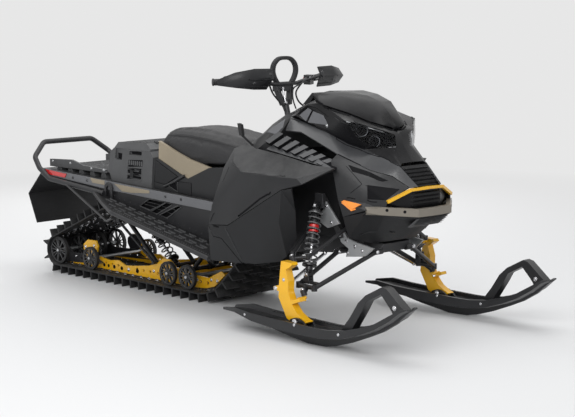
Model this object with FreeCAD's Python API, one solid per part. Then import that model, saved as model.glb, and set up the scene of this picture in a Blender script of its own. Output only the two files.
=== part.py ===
import FreeCAD, Part
import math
import os
from itertools import combinations

V = FreeCAD.Vector
os.makedirs("parts", exist_ok=True)
pieces = {}

# Overall reach of the machine, fore and aft of the ski bolt
TIP_REACH = 724.0
REAR_REACH = 2700.0
SHIFT = (REAR_REACH - TIP_REACH) / 2
GAP = 0.3

# Skis
SKI_STANCE = 1080.0
SKI_WIDTH = 155.0
SKI_TAIL = 519.0
SKI_BOLT_Z = 101.0
SKI_BOLT_R = 8.0
SKI_RIM = 12.0
SKI_CHANNEL = 22.0
KEEL_WIDTH = 24.0
LOOP_WIDTH = 52.0

# Spindles and their inclined kingpins
CASTER_DEG = 25.0
BALL_LOW_X = -20.0
BALL_LOW_Z = 211.0
BALL_HIGH_Z = 375.0
KINGPIN_OFFSET = 50.0
BALL_R = 15.0
SPINDLE_WIDTH = 44.0
STEER_BALL_X = -158.0
STEER_BALL_Z = 249.0

# Front arms and shocks
ARM_TUBE_R = 12.0
HIGH_TUBE_R = 9.6
SHOCK_TOP = (-129.0, 300.0, 648.0)
SHOCK_FOOT = (-62.0, 425.0, 316.0)
SHOCK_BODY_R = 22.0
SPRING_R = 37.0
SPRING_WIRE = 9.0
SPRING_PITCH = 21.0
TIE_ROD_R = 8.0

# Track and its skid
TRACK_WIDTH = 508.0
TRACK_ROOM = 26.0
BELT = 8.0
LUG = 46.0
LUG_ROWS = 54
LUG_THICK = 9.0
LUG_COLUMNS = 5
IDLER_R = 70.5
IDLER_WIDTH = 22.0
IDLER_Y = TRACK_WIDTH / 2 - 30
SPOKES = 9
SPOKE_WIDE = 6.0
WHEEL_RIM = 11.0
IDLER_X = (-2120.0, -1392.0, -1224.0)
REAR_WHEEL_X = -2436.0
REAR_WHEEL_R = 85.0
TOP_WHEEL = (-1760.0, 452.0)
DRIVE_X = -768.0
DRIVE_Z = 405.0
DRIVE_R = 84.0
SPROCKET_Y = 95.0
SPROCKET_WIDTH = 40.0
DRIVE_AXLE_R = 16.0
RAIL_Y = TRACK_WIDTH / 2 - 94
RAIL_THICK = 10.0
RAIL_NOSE = (-1120.0, 300.0)
ROLL_GAP = 1.0
AXLE_R = 11.0

# Tunnel, boards and what stands on them
TUNNEL_WIDTH = TRACK_WIDTH + 2 * TRACK_ROOM
TUNNEL_WALL = 5.0
TUNNEL_FRONT = -612.0
TUNNEL_REAR = -2540.0
TUNNEL_TOP_FRONT = 567.0
TUNNEL_TOP_REAR = 645.0
STRIP_THICK = 8.0
BOARD_FRONT_Z = 326.0
BOARD_SLOPE = 0.185
BOARD_THICK = 12.0
BOARD_EDGE_R = 15.0
BOARD_OUT = TUNNEL_WIDTH / 2 + 205
BOARD_HOLE = (58.0, 24.0)
BUMPER_TUBE_R = 16.0
BUMPER_TOP_Z = 795.0
BUMPER_HALF = 185.0
FLAP_THICK = 6.0
BOX_HALF = 238.0
BOX_FRONT = -1520.0
BOX_REAR = -1915.0
BOX_SPLIT_Z = 812.0
LID_THICK = 34.0
LID_RIB = 3.0
HINGE_R = 7.0

# Steering column and bars
POST_FOOT = (-628.0, 1000.0)
POST_HEAD = (-682.0, 1205.0)
POST_R = 16.0
BAR_R = 11.0
GRIP_R = 17.0
GRIP_END = (-801.0, 400.0, 1246.0)
STRAP_TALL = 145.0
STRAP_HALF = 98.0
STRAP_WIDTH = 26.0
STRAP_THICK = 9.0

# Bodywork
SKIN = 8.0
PANEL = 12.0
SEAM = 4.0
SEAT_HALF = 205.0
ENGINE_SIZE = (400.0, 330.0, 330.0)
ENGINE_X = -300.0
KEEL_TOP = 470.0
BULKHEAD = 10.0


def at(x, y, z):
    return V(x + SHIFT, y, z)


def right(x, w, z):
    return at(x, -w, z)


def mirrored(shape):
    return shape.mirror(V(0, 0, 0), V(0, 1, 0))


def pair(shape):
    return [shape, mirrored(shape)]


def solids(shapes):
    found = []
    for shape in shapes:
        found.extend(shape.Solids)
    return found


def save(name, *shapes):
    pieces[name] = solids(shapes)


def trim(name, *cutters):
    """Cut a node back to the faces of its neighbours and keep its main solids."""
    tools = [solid for cutter in cutters for solid in pieces[cutter]]
    kept = []
    for solid in pieces[name]:
        near = [tool for tool in tools if tool.BoundBox.intersect(solid.BoundBox)]
        if near:
            rest = solid.cut(near).Solids
            kept.append(max(rest, key=lambda piece: piece.Volume))
        else:
            kept.append(solid)
    pieces[name] = kept


def fuse(shapes):
    whole = shapes[0].fuse(shapes[1:])
    return whole.removeSplitter()


def closed(facets):
    solid = Part.makeSolid(Part.makeShell(facets))
    if solid.Volume < 0:
        solid.reverse()
    return solid


def flat(points):
    return Part.Face(Part.makePolygon(list(points) + [points[0]]))


def triangles(polygon):
    return [(polygon[0], polygon[i], polygon[i + 1]) for i in range(1, len(polygon) - 1)]


def panel(points, faces, depth, inside):
    """A sheet of facets that is pushed in by its depth and closed with a rim."""
    turned = []
    push = [V(0, 0, 0) for _ in points]
    for polygon in faces:
        for a, b, c in triangles(polygon):
            normal = (points[b] - points[a]).cross(points[c] - points[a])
            middle = (points[a] + points[b] + points[c]) / 3
            if normal.dot(middle - inside) < 0:
                a, b, c = a, c, b
                normal = -normal
            turned.append((a, b, c))
            unit = normal / normal.Length
            for corner in (a, b, c):
                push[corner] = push[corner] + unit
    inner = []
    for point, total in zip(points, push):
        inner.append(point - total * (depth / max(total.Length, 1e-6)))
    edges = set()
    for a, b, c in turned:
        edges.update([(a, b), (b, c), (c, a)])
    facets = []
    for a, b, c in turned:
        facets.append(flat([points[a], points[b], points[c]]))
        facets.append(flat([inner[c], inner[b], inner[a]]))
    for a, b in edges:
        if (b, a) not in edges:
            facets.append(flat([points[b], points[a], inner[a]]))
            facets.append(flat([points[b], inner[a], inner[b]]))
    return closed(facets)


def hull(points):
    """The smallest convex solid around the points."""
    seen = set()
    facets = []
    for a, b, c in combinations(points, 3):
        normal = (b - a).cross(c - a)
        if normal.Length < 1e-3:
            continue
        normal.normalize()
        heights = [normal.dot(p - a) for p in points]
        if max(heights) > 1e-3 and min(heights) < -1e-3:
            continue
        face = tuple(i for i, h in enumerate(heights) if abs(h) < 1e-3)
        if face in seen:
            continue
        seen.add(face)
        centre = V(0, 0, 0)
        for i in face:
            centre = centre + points[i]
        centre = centre / len(face)
        along = points[face[0]] - centre
        across = normal.cross(along)
        turn = sorted(face, key=lambda i: math.atan2(across.dot(points[i] - centre) / across.Length,
                                                     along.dot(points[i] - centre) / along.Length))
        facets.append(flat([points[i] for i in turn]))
    return closed(facets)


def plate(outline, y0, y1):
    """An outline of x and z, extruded from y0 to y1."""
    solid = flat([at(x, y0, z) for x, z in outline]).extrude(V(0, y1 - y0, 0))
    if solid.Volume < 0:
        solid.reverse()
    return solid


def block(x0, x1, y0, y1, z0, z1):
    return Part.makeBox(x1 - x0, y1 - y0, z1 - z0, at(x0, y0, z0))


def rod(a, b, radius):
    return Part.makeCylinder(radius, (b - a).Length, a, b - a)


def cross_rod(x, z, y0, y1, radius):
    return Part.makeCylinder(radius, y1 - y0, at(x, y0, z), V(0, 1, 0))


def strut(a, b, wide, thick, across=V(0, 1, 0)):
    """A straight bar from a to b: wide along the given direction and thick across it."""
    run = b - a
    run.normalize()
    side = across - run * across.dot(run)
    side.normalize()
    third = run.cross(side)
    corners = []
    for end in (a, b):
        for s in (-1, 1):
            for t in (-1, 1):
                corners.append(end + side * (s * wide / 2) + third * (t * thick / 2))
    return hull(corners)


def tube(points, radius, bend):
    """A round tube along straight runs that are joined by arcs."""
    edges = []
    start = points[0]
    for before, corner, after in zip(points, points[1:], points[2:]):
        back = before - corner
        ahead = after - corner
        half = back.getAngle(ahead) / 2
        reach = min(bend / math.tan(half), 0.45 * back.Length, 0.45 * ahead.Length)
        back.normalize()
        ahead.normalize()
        first = corner + back * reach
        last = corner + ahead * reach
        bisector = back + ahead
        bisector.normalize()
        arc_r = reach * math.tan(half)
        middle = corner + bisector * (arc_r / math.sin(half) - arc_r)
        edges.append(Part.makeLine(start, first))
        edges.append(Part.Arc(first, middle, last).toShape())
        start = last
    edges.append(Part.makeLine(start, points[-1]))
    path = Part.Wire(edges)
    ring = Part.Wire(Part.makeCircle(radius, points[0], points[1] - points[0]))
    return path.makePipeShell([ring], True, True)


def loft(sections):
    wires = [Part.makePolygon(list(s) + [s[0]]) for s in sections]
    return Part.makeLoft(wires, True, True)


# Tunnel: an upturned channel whose top rises to the rear
TUNNEL_HALF = TUNNEL_WIDTH / 2
TOP_SLOPE = (TUNNEL_TOP_REAR - TUNNEL_TOP_FRONT) / (TUNNEL_FRONT - TUNNEL_REAR)
BOARD_X0 = -745.0
BOARD_X1 = -1978.0


def top_z(x):
    return TUNNEL_TOP_FRONT + (TUNNEL_FRONT - x) * TOP_SLOPE


def board_z(x):
    return BOARD_FRONT_Z + (BOARD_X0 - x) * BOARD_SLOPE


side_outline = [(TUNNEL_FRONT, top_z(TUNNEL_FRONT)), (TUNNEL_REAR, top_z(TUNNEL_REAR)),
                (TUNNEL_REAR, top_z(TUNNEL_REAR) - 42), (BOARD_X1, board_z(BOARD_X1)),
                (BOARD_X0, board_z(BOARD_X0)), (TUNNEL_FRONT, board_z(BOARD_X0))]
tunnel = plate(side_outline, -TUNNEL_HALF, TUNNEL_HALF)
hollow = [(x, z - TUNNEL_WALL) for x, z in side_outline[:2]]
hollow = [(TUNNEL_FRONT + 1, hollow[0][1]), (TUNNEL_REAR - 1, hollow[1][1]),
          (TUNNEL_REAR - 1, 200), (TUNNEL_FRONT + 1, 200)]
tunnel = tunnel.cut(plate(hollow, TUNNEL_WALL - TUNNEL_HALF, TUNNEL_HALF - TUNNEL_WALL))
LOUVRES = [[(-1489, 546), (-1571, 502), (-1481, 488), (-1348, 543)],
           [(-1339, 541), (-1473, 479), (-1419, 471), (-1286, 535)],
           [(-1238, 533), (-1393, 468), (-1331, 457), (-1209, 529)]]
for louvre in LOUVRES:
    tunnel = tunnel.cut(plate(louvre, -TUNNEL_HALF - 1, TUNNEL_HALF + 1))
save("tunnel", tunnel)

# Strips along the upper sides of the tunnel, with the louvres of the side below them
STRIP_FRONT = -760.0
STRIP_REAR = -2480.0
STRIP_DROP = 46.0
strip_outline = [(STRIP_FRONT, top_z(STRIP_FRONT) + 4), (STRIP_REAR, top_z(STRIP_REAR) + 4),
                 (STRIP_REAR, top_z(STRIP_REAR) - 32), (-1804, top_z(-1804) - STRIP_DROP),
                 (STRIP_FRONT, top_z(STRIP_FRONT) - STRIP_DROP)]
strip = plate(strip_outline, -TUNNEL_HALF - STRIP_THICK, -TUNNEL_HALF)
save("tunnel_strips", *pair(strip))

# Tail lamps at the rear ends of the strips
lamp_outline = [(-2478, top_z(-2478) + 2), (-2262, top_z(-2262) - 2), (-2278, top_z(-2278) - 26),
                (-2440, top_z(-2440) - 26)]
lamp = plate(lamp_outline, -TUNNEL_HALF - STRIP_THICK - 4, -TUNNEL_HALF - STRIP_THICK)
save("tail_lamps", *pair(lamp))

hoop_y = TUNNEL_HALF + STRIP_THICK + BUMPER_TUBE_R

# Running boards: a plate that rises to the rear, with a round outer edge
board_plan = [(BOARD_X0, TUNNEL_HALF), (BOARD_X0, BOARD_OUT), (-1600, BOARD_OUT - 22), (-1760, 400),
              (BOARD_X1, TUNNEL_HALF + 18), (BOARD_X1, TUNNEL_HALF)]
board_top = [right(x, w, board_z(x)) for x, w in board_plan]
board_low = [p - V(0, 0, BOARD_THICK) for p in board_top]
board_sides = [flat([board_top[i], board_top[i - 1], board_low[i - 1], board_low[i]])
               for i in range(len(board_plan))]
board = closed([flat(board_top), flat(board_low[::-1])] + board_sides)
edge_points = [right(x, w, board_z(x) - BOARD_THICK / 2) for x, w in board_plan[1:5]]
board_edge = tube(edge_points, BOARD_EDGE_R, 60)
board = fuse([board, board_edge])
holes = []
for k in range(11):
    x = -900 - 88 * k
    for w in (TUNNEL_HALF + 48, TUNNEL_HALF + 122):
        if x > -1700 or w < TUNNEL_HALF + 100:
            holes.append(block(x - BOARD_HOLE[0] / 2, x + BOARD_HOLE[0] / 2, -w - BOARD_HOLE[1] / 2,
                               -w + BOARD_HOLE[1] / 2, board_z(x) - 40, board_z(x) + 40))
board = board.cut(holes)
brace = tube([right(-2264, hoop_y, 580), right(-1680, 438, 418), right(-1600, BOARD_OUT - 22, 446)], 8, 40)
save("running_boards", *pair(board.fuse(brace)))

# Rear bumper tube with its high hoop
hoop = [right(-1881, hoop_y, 548), right(-2420, hoop_y, 592), right(-2520, hoop_y, 650),
        right(-2590, hoop_y - 16, 712), right(-2636, BUMPER_HALF, BUMPER_TOP_Z)]
hoop = hoop + [V(p.x, -p.y, p.z) for p in hoop[::-1]]
clamp_outline = [(-1884, 500), (-1876, 596), (-1852, 618), (-1816, 608), (-1806, 584), (-1812, 498),
                 (-1838, 488)]
clamp_hole = [(-1866, 528), (-1862, 584), (-1846, 598), (-1826, 590), (-1824, 530), (-1844, 518)]
clamp_y = TUNNEL_HALF + STRIP_THICK
clamp = plate(clamp_outline, -clamp_y - 14, -clamp_y).cut(plate(clamp_hole, -clamp_y - 15, -clamp_y + 1))
save("rear_bumper", fuse([tube(hoop, BUMPER_TUBE_R, 55)] + pair(clamp)))

# Rear deck on the tunnel: a ribbed carrier plate between two side walls
DECK_HALF = 225.0
DECK_Z = 58.0
deck = [block(-2470, -1950, -DECK_HALF, DECK_HALF, top_z(-2470) + 14, top_z(-2470) + 24)]
for x in (-2460, -2350, -2240, -2130, -2020):
    deck.append(plate([(x, top_z(x)), (x + 50, top_z(x + 50)), (x + 40, top_z(-2470) + 20),
                       (x + 10, top_z(-2470) + 20)],
                      -DECK_HALF + 10, DECK_HALF - 10))
for side in (-1, 1):
    wall_y = side * (DECK_HALF - 8)
    deck.append(plate([(-2520, top_z(-2470) + 14), (-2520, top_z(-2470) + DECK_Z),
                       (-2300, top_z(-2470) + DECK_Z + 10),
                       (-2180, top_z(-2470) + DECK_Z - 16), (-1960, top_z(-2470) + DECK_Z - 24),
                       (-1960, top_z(-2470) + 14)], wall_y - 8, wall_y + 8))
save("rear_deck", fuse(deck))

# Snow flap behind the track
FLAP_HALF = TUNNEL_HALF - 2
flap_side = [(-2541, 620, FLAP_HALF), (2 * FLAP_THICK - REAR_REACH, 475, FLAP_HALF - 4),
             (-2640, 290, FLAP_HALF - 30)]
flap_points = []
for x, z, w in flap_side:
    flap_points.extend([right(x, w, z), right(x - FLAP_THICK * 2, 0, z), right(x, -w, z)])
flap_faces = [(0, 1, 4, 3), (1, 2, 5, 4), (3, 4, 7, 6), (4, 5, 8, 7)]
save("snow_flap", panel(flap_points, flap_faces, FLAP_THICK, at(-2200, 0, 420)))

# Track: the belt's loop around its wheels, rails and drivers
FLAT_Z = LUG + BELT
REAR_WHEEL_Z = FLAT_Z + REAR_WHEEL_R
IDLER_Z = FLAT_Z + IDLER_R
wheels = [(REAR_WHEEL_X, REAR_WHEEL_Z, REAR_WHEEL_R), (RAIL_NOSE[0], FLAT_Z + RAIL_NOSE[1], RAIL_NOSE[1]),
          (DRIVE_X, DRIVE_Z, DRIVE_R), (TOP_WHEEL[0], TOP_WHEEL[1], IDLER_R)]


def loop_points(grow, step):
    """Points around the loop at the wheels' radius plus grow, evenly spaced."""
    tangents = []
    for i, (x0, z0, r0) in enumerate(wheels):
        x1, z1, r1 = wheels[(i + 1) % len(wheels)]
        length = math.hypot(x1 - x0, z1 - z0)
        heading = math.atan2(z1 - z0, x1 - x0)
        normal = heading - math.pi / 2 - math.asin((r1 - r0) / length)
        tangents.append(normal)
    path = []
    for i, (x, z, r) in enumerate(wheels):
        a0 = tangents[i - 1]
        a1 = tangents[i]
        while a1 < a0:
            a1 += 2 * math.pi
        count = max(2, int((a1 - a0) * (r + grow) / 12))
        for k in range(count + 1):
            a = a0 + (a1 - a0) * k / count
            path.append((x + (r + grow) * math.cos(a), z + (r + grow) * math.sin(a)))
    path.append(path[0])
    total = sum(math.dist(p, q) for p, q in zip(path, path[1:]))
    points = []
    walked = 0.0
    target = 0.0
    for p, q in zip(path, path[1:]):
        piece = math.dist(p, q)
        while target < walked + piece and len(points) < step:
            t = (target - walked) / piece
            points.append((p[0] + (q[0] - p[0]) * t, p[1] + (q[1] - p[1]) * t))
            target += total / step
        walked += piece
    return points, total


PER_LUG = 4
inner_line, inner_length = loop_points(0.0, LUG_ROWS * PER_LUG)
outer_line, outer_length = loop_points(BELT, LUG_ROWS * PER_LUG)
print("track length", round((inner_length + outer_length) / 2))


def outward(line, i):
    x0, z0 = line[i - 1]
    x1, z1 = line[(i + 1) % len(line)]
    length = math.hypot(x1 - x0, z1 - z0)
    return (z1 - z0) / length, -(x1 - x0) / length


def lugged(start, stride):
    """The belt's outer line with a lug at every stride of its points."""
    line = []
    for i, (x, z) in enumerate(outer_line):
        if i % (PER_LUG * stride) == start:
            nx, nz = outward(outer_line, i)
            half = LUG_THICK / 2
            for along, out in ((-1.4, -0.5), (-0.8, LUG), (0.8, LUG), (1.4, -0.5)):
                line.append((x - nz * along * half + nx * out, z + nx * along * half + nz * out))
        else:
            line.append((x, z))
    return line


column = TRACK_WIDTH / LUG_COLUMNS
slabs = []
for k in range(LUG_COLUMNS):
    start = (k % 2) * (PER_LUG // 2)
    outer = [at(x, k * column - TRACK_WIDTH / 2, z) for x, z in lugged(start, 1)]
    inner = [at(x, k * column - TRACK_WIDTH / 2, z) for x, z in inner_line]
    ring = flat(outer).cut(flat(inner)).Faces[0]
    slabs.append(ring.extrude(V(0, column, 0)))
save("track", slabs[0].fuse(slabs[1:]))

# Slide rails with their bolt holes, and a black runner under each
rail_outline = [(-2470, 70), (-2486, 130), (-2440, 158), (-2380, 122), (-2126, 132), (-2016, 118),
                (-1929, 128), (-1864, 104), (-1801, 110), (-1646, 130), (-1578, 148), (-1510, 190),
                (-1450, 190), (-1400, 152), (-1250, 130), (-1111, 127), (-1007, 178), (-975, 160),
                (-1062, 84), (-1130, FLAT_Z + 12), (-1200, FLAT_Z + 5), (-2440, FLAT_Z + 5)]
rail = plate(rail_outline, -RAIL_Y - RAIL_THICK / 2, -RAIL_Y + RAIL_THICK / 2)
for x in (-2290, -2220, -2150, -2050, -1990, -1930, -1750, -1690, -1630, -1560, -1300, -1180, -1120):
    rail = rail.cut(cross_rod(x, 96, -RAIL_Y - 20, -RAIL_Y + 20, 9))
carrier = plate([(-2254, 162), (-2253, 193), (-2212, 223), (-2132, 225), (-2113, 191), (-2144, 100),
                 (-2214, 100)],
                -RAIL_Y - RAIL_THICK / 2 - 12, -RAIL_Y - RAIL_THICK / 2)
runner = block(-2430, -1200, -RAIL_Y - RAIL_THICK / 2 - 4, -RAIL_Y + RAIL_THICK / 2 + 4, FLAT_Z, FLAT_Z + 5)
save("slide_rails", *pair(fuse([rail, carrier, runner])))


def wheel(x, y, z, loop_r):
    """A wheel with a rim, slim spokes and a hub."""
    half = IDLER_WIDTH / 2
    radius = loop_r - ROLL_GAP
    bed = radius - WHEEL_RIM
    body = cross_rod(x, z, y - half, y + half, radius)
    cutters = [cross_rod(x, z, y + 5, y + half + 1, bed), cross_rod(x, z, y - half - 1, y - 5, bed)]
    for k in range(SPOKES):
        middle = 2 * math.pi * k / SPOKES
        corners = []
        for r, steps in ((24.0, (-1, 1)), (bed, (1, 0, -1))):
            open_half = math.pi / SPOKES - SPOKE_WIDE / 2 / r
            for step in steps:
                a = middle + step * open_half
                corners.append((x + r * math.cos(a), z + r * math.sin(a)))
        cutters.append(plate(corners, y - half, y + half))
    hub = cross_rod(x, z, y - half - 2, y + half + 2, 20)
    return body.cut(cutters).fuse(hub)


# Wheels on their axles; every wheel turns loosely on the real machine and is fixed here
axles = []
for x in IDLER_X:
    group = [cross_rod(x, IDLER_Z, -IDLER_Y - 14, IDLER_Y + 14, AXLE_R)]
    for y in (-IDLER_Y, IDLER_Y):
        group.append(wheel(x, y, IDLER_Z, IDLER_R))
    axles.append(fuse(group))
group = [cross_rod(REAR_WHEEL_X, REAR_WHEEL_Z, -IDLER_Y - 14, IDLER_Y + 14, AXLE_R)]
for y in (-IDLER_Y, -70, 70, IDLER_Y):
    group.append(wheel(REAR_WHEEL_X, y, REAR_WHEEL_Z, REAR_WHEEL_R))
axles.append(fuse(group))
group = [cross_rod(TOP_WHEEL[0], TOP_WHEEL[1], -TUNNEL_HALF + TUNNEL_WALL, TUNNEL_HALF - TUNNEL_WALL,
                   AXLE_R)]
for y in (-110, 110):
    group.append(wheel(TOP_WHEEL[0], y, TOP_WHEEL[1], IDLER_R))
axles.append(fuse(group))
group = [cross_rod(DRIVE_X, DRIVE_Z, -TUNNEL_HALF + TUNNEL_WALL, TUNNEL_HALF - TUNNEL_WALL, DRIVE_AXLE_R)]
for y in (-SPROCKET_Y, SPROCKET_Y):
    half = SPROCKET_WIDTH / 2
    group.append(cross_rod(DRIVE_X, DRIVE_Z, y - half, y + half, DRIVE_R - ROLL_GAP))
axles.append(fuse(group))
save("wheels_axles", *axles)

# Skid arms between the rails and the tunnel, and the two skid shocks
ARM_INNER = RAIL_Y - RAIL_THICK / 2
arms = []
front_pivot = cross_rod(-1290, 150, -ARM_INNER, ARM_INNER, 12)
front_head = cross_rod(-1060, 398, -TUNNEL_HALF + TUNNEL_WALL, TUNNEL_HALF - TUNNEL_WALL, 14)
group = [front_pivot, front_head]
for y in (-120, 120):
    group.append(rod(at(-1290, y, 150), at(-1060, y, 398), 13))
arms.append(fuse(group))
rear_pivot = cross_rod(-1576, 122, -ARM_INNER, ARM_INNER, 12)
rear_head = cross_rod(-1880, 380, -205, 205, 14)
group = [rear_pivot, rear_head]
for y in (-130, 130):
    group.append(rod(at(-1576, y, 122), at(-1880, y, 380), 13))
for side in (-1, 1):
    group.append(rod(at(-1880, side * 200, 380), at(-1569, side * (RAIL_Y + 24), 160), 8))
    group.append(cross_rod(-1569, 160, min(side * (RAIL_Y + 5), side * (RAIL_Y + 36)),
                            max(side * (RAIL_Y + 5), side * (RAIL_Y + 36)), 10))
arms.append(fuse(group))


EYE_WIDTH = 26.0


def shock(foot, head, body_r, spring_r):
    """A damper with its coil as a sleeve that has a groove between two turns."""
    run = head - foot
    unit = run / run.Length
    eye_gap = 30.0
    body = [rod(foot, head, body_r * 0.4)]
    body.append(rod(foot + unit * (run.Length * 0.45), head - unit * eye_gap, body_r))
    low = foot + unit * (run.Length * 0.14)
    turns = int(run.Length * 0.58 / SPRING_PITCH)
    bed = spring_r - SPRING_WIRE
    body.append(rod(low, low + unit * (turns * SPRING_PITCH + SPRING_WIRE), bed))
    for k in range(turns + 1):
        start = low + unit * (k * SPRING_PITCH)
        taper = Part.makeCone(bed - 1, spring_r, SPRING_WIRE / 2, start, unit)
        body.append(taper)
        body.append(Part.makeCone(spring_r, bed - 1, SPRING_WIRE / 2,
                                  start + unit * (SPRING_WIRE / 2), unit))
    body.append(Part.makeCylinder(16, EYE_WIDTH, foot - V(0, EYE_WIDTH / 2, 0), V(0, 1, 0)))
    body.append(Part.makeCylinder(16, EYE_WIDTH, head - V(0, EYE_WIDTH / 2, 0), V(0, 1, 0)))
    return fuse(body)


save("skid_arms", *arms)
skid_shocks = [shock(at(-1290, 0, 150), at(-1060, 0, 398), 20, 36),
               shock(at(-1576, 0, 122), at(-1880, 0, 380), 20, 36)]
save("skid_shocks", *skid_shocks)

# Storage box on the tunnel, with a lid hinged along its rear top edge
box_foot = top_z(BOX_REAR)
box_low = [(BOX_FRONT, top_z(BOX_FRONT)), (BOX_REAR + 30, box_foot), (BOX_REAR, box_foot + 60),
           (BOX_REAR, 786), (BOX_REAR + 30, BOX_SPLIT_Z), (BOX_FRONT - 28, BOX_SPLIT_Z), (BOX_FRONT, 780)]
box_points = []
for x, z in box_low:
    width = BOX_HALF - max(0.0, (z - 700) * 0.16)
    box_points.extend([at(x, -width, z), at(x, width, z)])
box = hull(box_points)
cavity = block(BOX_REAR + 44, BOX_FRONT - 44, -BOX_HALF + 36, BOX_HALF - 36, box_foot + 24, BOX_SPLIT_Z + 1)
box = box.cut(cavity)
details = []
for side in (-1, 1):
    face = side * (BOX_HALF - 8)
    span = sorted((face, side * (BOX_HALF + 20)))
    for k in range(4):
        details.append(block(-1743, -1615, span[0], span[1], 650 + 25 * k, 664 + 25 * k))
    face = side * (BOX_HALF - 24)
    span = sorted((face, side * (BOX_HALF + 20)))
    details.append(block(-1865, -1802, span[0], span[1], 752, BOX_SPLIT_Z + 1))
    details.append(block(-1738, -1622, span[0], span[1], 782, 803))
box = box.cut(details)
hinge_x = BOX_REAR + 30
hinge_z = BOX_SPLIT_Z + HINGE_R
for side in (-1, 1):
    knuckle = cross_rod(hinge_x - HINGE_R, hinge_z, side * 120 - 25, side * 120 + 25, HINGE_R)
    ear = block(hinge_x - 2 * HINGE_R, hinge_x, side * 120 - 25, side * 120 + 25, 786, hinge_z)
    box = box.fuse([knuckle, ear])
save("storage_box", box)
lid_foot = BOX_SPLIT_Z + GAP
lid_profile = [(hinge_x + 2, lid_foot), (hinge_x + 20, lid_foot + LID_THICK),
               (BOX_FRONT - 90, lid_foot + LID_THICK + 8),
               (BOX_FRONT - 32, lid_foot + 12), (BOX_FRONT - 30, lid_foot)]
lid_points = []
for x, z in lid_profile:
    width = 219 - max(0.0, (z - BOX_SPLIT_Z) * 0.5)
    lid_points.extend([at(x, -width, z), at(x, width, z)])
lid = hull(lid_points)
ribs = []
for k in range(7):
    x = hinge_x + 56 + 32 * k
    top = lid_foot + LID_THICK + 8 * (x - hinge_x - 20) / (BOX_FRONT - 90 - hinge_x - 20)
    ribs.append(hull([at(x + dx, y, top + dz) for dx, dz in ((-9, -2), (9, -2), (-5, LID_RIB), (5, LID_RIB))
                      for y in (-170, 170)]))
lid = fuse([lid] + ribs)
for side in (-1, 1):
    y0 = side * 120
    for end in (-1, 1):
        y1 = y0 + end * 31
        knuckle = cross_rod(hinge_x - HINGE_R, hinge_z, y1 - 5, y1 + 5, HINGE_R)
        tab = block(hinge_x - HINGE_R, hinge_x + 12, y1 - 5, y1 + 5, hinge_z - HINGE_R + 1,
                    hinge_z + HINGE_R)
        lid = lid.fuse([knuckle, tab])
save("storage_lid", lid)

# Seat base: the grey plates under the seat, closed to the rear by a dark slope
SEAT_BASE_HALF = SEAT_HALF + 23
COVER_REAR = -797.0
notch = [(-1470.0, 780.0), (-1215.0, 684.0), (-1030.0, 760.0), (COVER_REAR, 780.0)]
base_outline = [(COVER_REAR, top_z(COVER_REAR)), (-1500, top_z(-1500)), (-1505, 770)] + notch
seat_base = plate(base_outline, -SEAT_BASE_HALF, SEAT_BASE_HALF)
save("seat_base", seat_base)

# Seat trim: the pale band along each side under the seat
trim_outline = [(-1466, 880)] + notch[:3] + [(-1205, 794), (-1319, 828)]
trim_solid = plate(trim_outline, -SEAT_HALF - 18, -SEAT_HALF)
save("seat_trim", *pair(trim_solid))

# Seat: a plain crowned cushion over the base
seat_sections = []
for x, top, side_z, low, w_top, w_side in (
        (-1488, 905, 885, 850, 125, 175), (-1466, 930, 905, 800, 145, SEAT_HALF - 6),
        (-1322, 956, 922, 830, 155, SEAT_HALF - GAP), (-1110, 951, 912, 790, 150, SEAT_HALF - GAP),
        (-960, 930, 895, 784, 140, SEAT_HALF - GAP), (-800, 915, 880, 784, 120, SEAT_HALF - 20)):
    half = [(0, top), (w_top * 0.6, top - 6), (w_top, side_z), (w_side, (side_z + low) / 2 + 10),
            (w_side, low)]
    section = [at(x, -w, z) for w, z in half] + [at(x, w, z) for w, z in half[:0:-1]]
    seat_sections.append(section)
seat = loft(seat_sections)
under_seat = [(x, z + GAP) for x, z in notch]
seat_floor = plate([(-1620, 600), (-1620, under_seat[0][1])] + under_seat +
                   [(-700, under_seat[3][1]), (-700, 600)],
                   -300, 300)
save("seat", seat.cut(seat_floor))

# Tank cover between the seat and the hood
cover_sections = []
for x, half in (
        (COVER_REAR, ((0, 918), (110, 914), (200, 880), (232, 800), (232, 590))),
        (-700, ((0, 985), (110, 978), (215, 905), (275, 820), (275, 590))),
        (-640, ((0, 1030), (120, 1016), (230, 945), (286, 860), (286, 700))),
        (-540, ((0, 1078), (125, 1070), (212, 1010), (286, 925), (286, 830))),
        (-434, ((0, 1116), (140, 1106), (182, 1070), (252, 1000), (280, 900)))):
    section = [at(x, -w, z) for w, z in half] + [at(x, w, z) for w, z in half[:0:-1]]
    cover_sections.append(section)
post_foot = at(POST_FOOT[0], 0, POST_FOOT[1])
post_head = at(POST_HEAD[0], 0, POST_HEAD[1])
lean = post_head - post_foot
lean.normalize()
cover = loft(cover_sections).cut(rod(post_foot - lean * GAP, post_head, POST_R + GAP))
save("tank_cover", cover)

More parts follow.
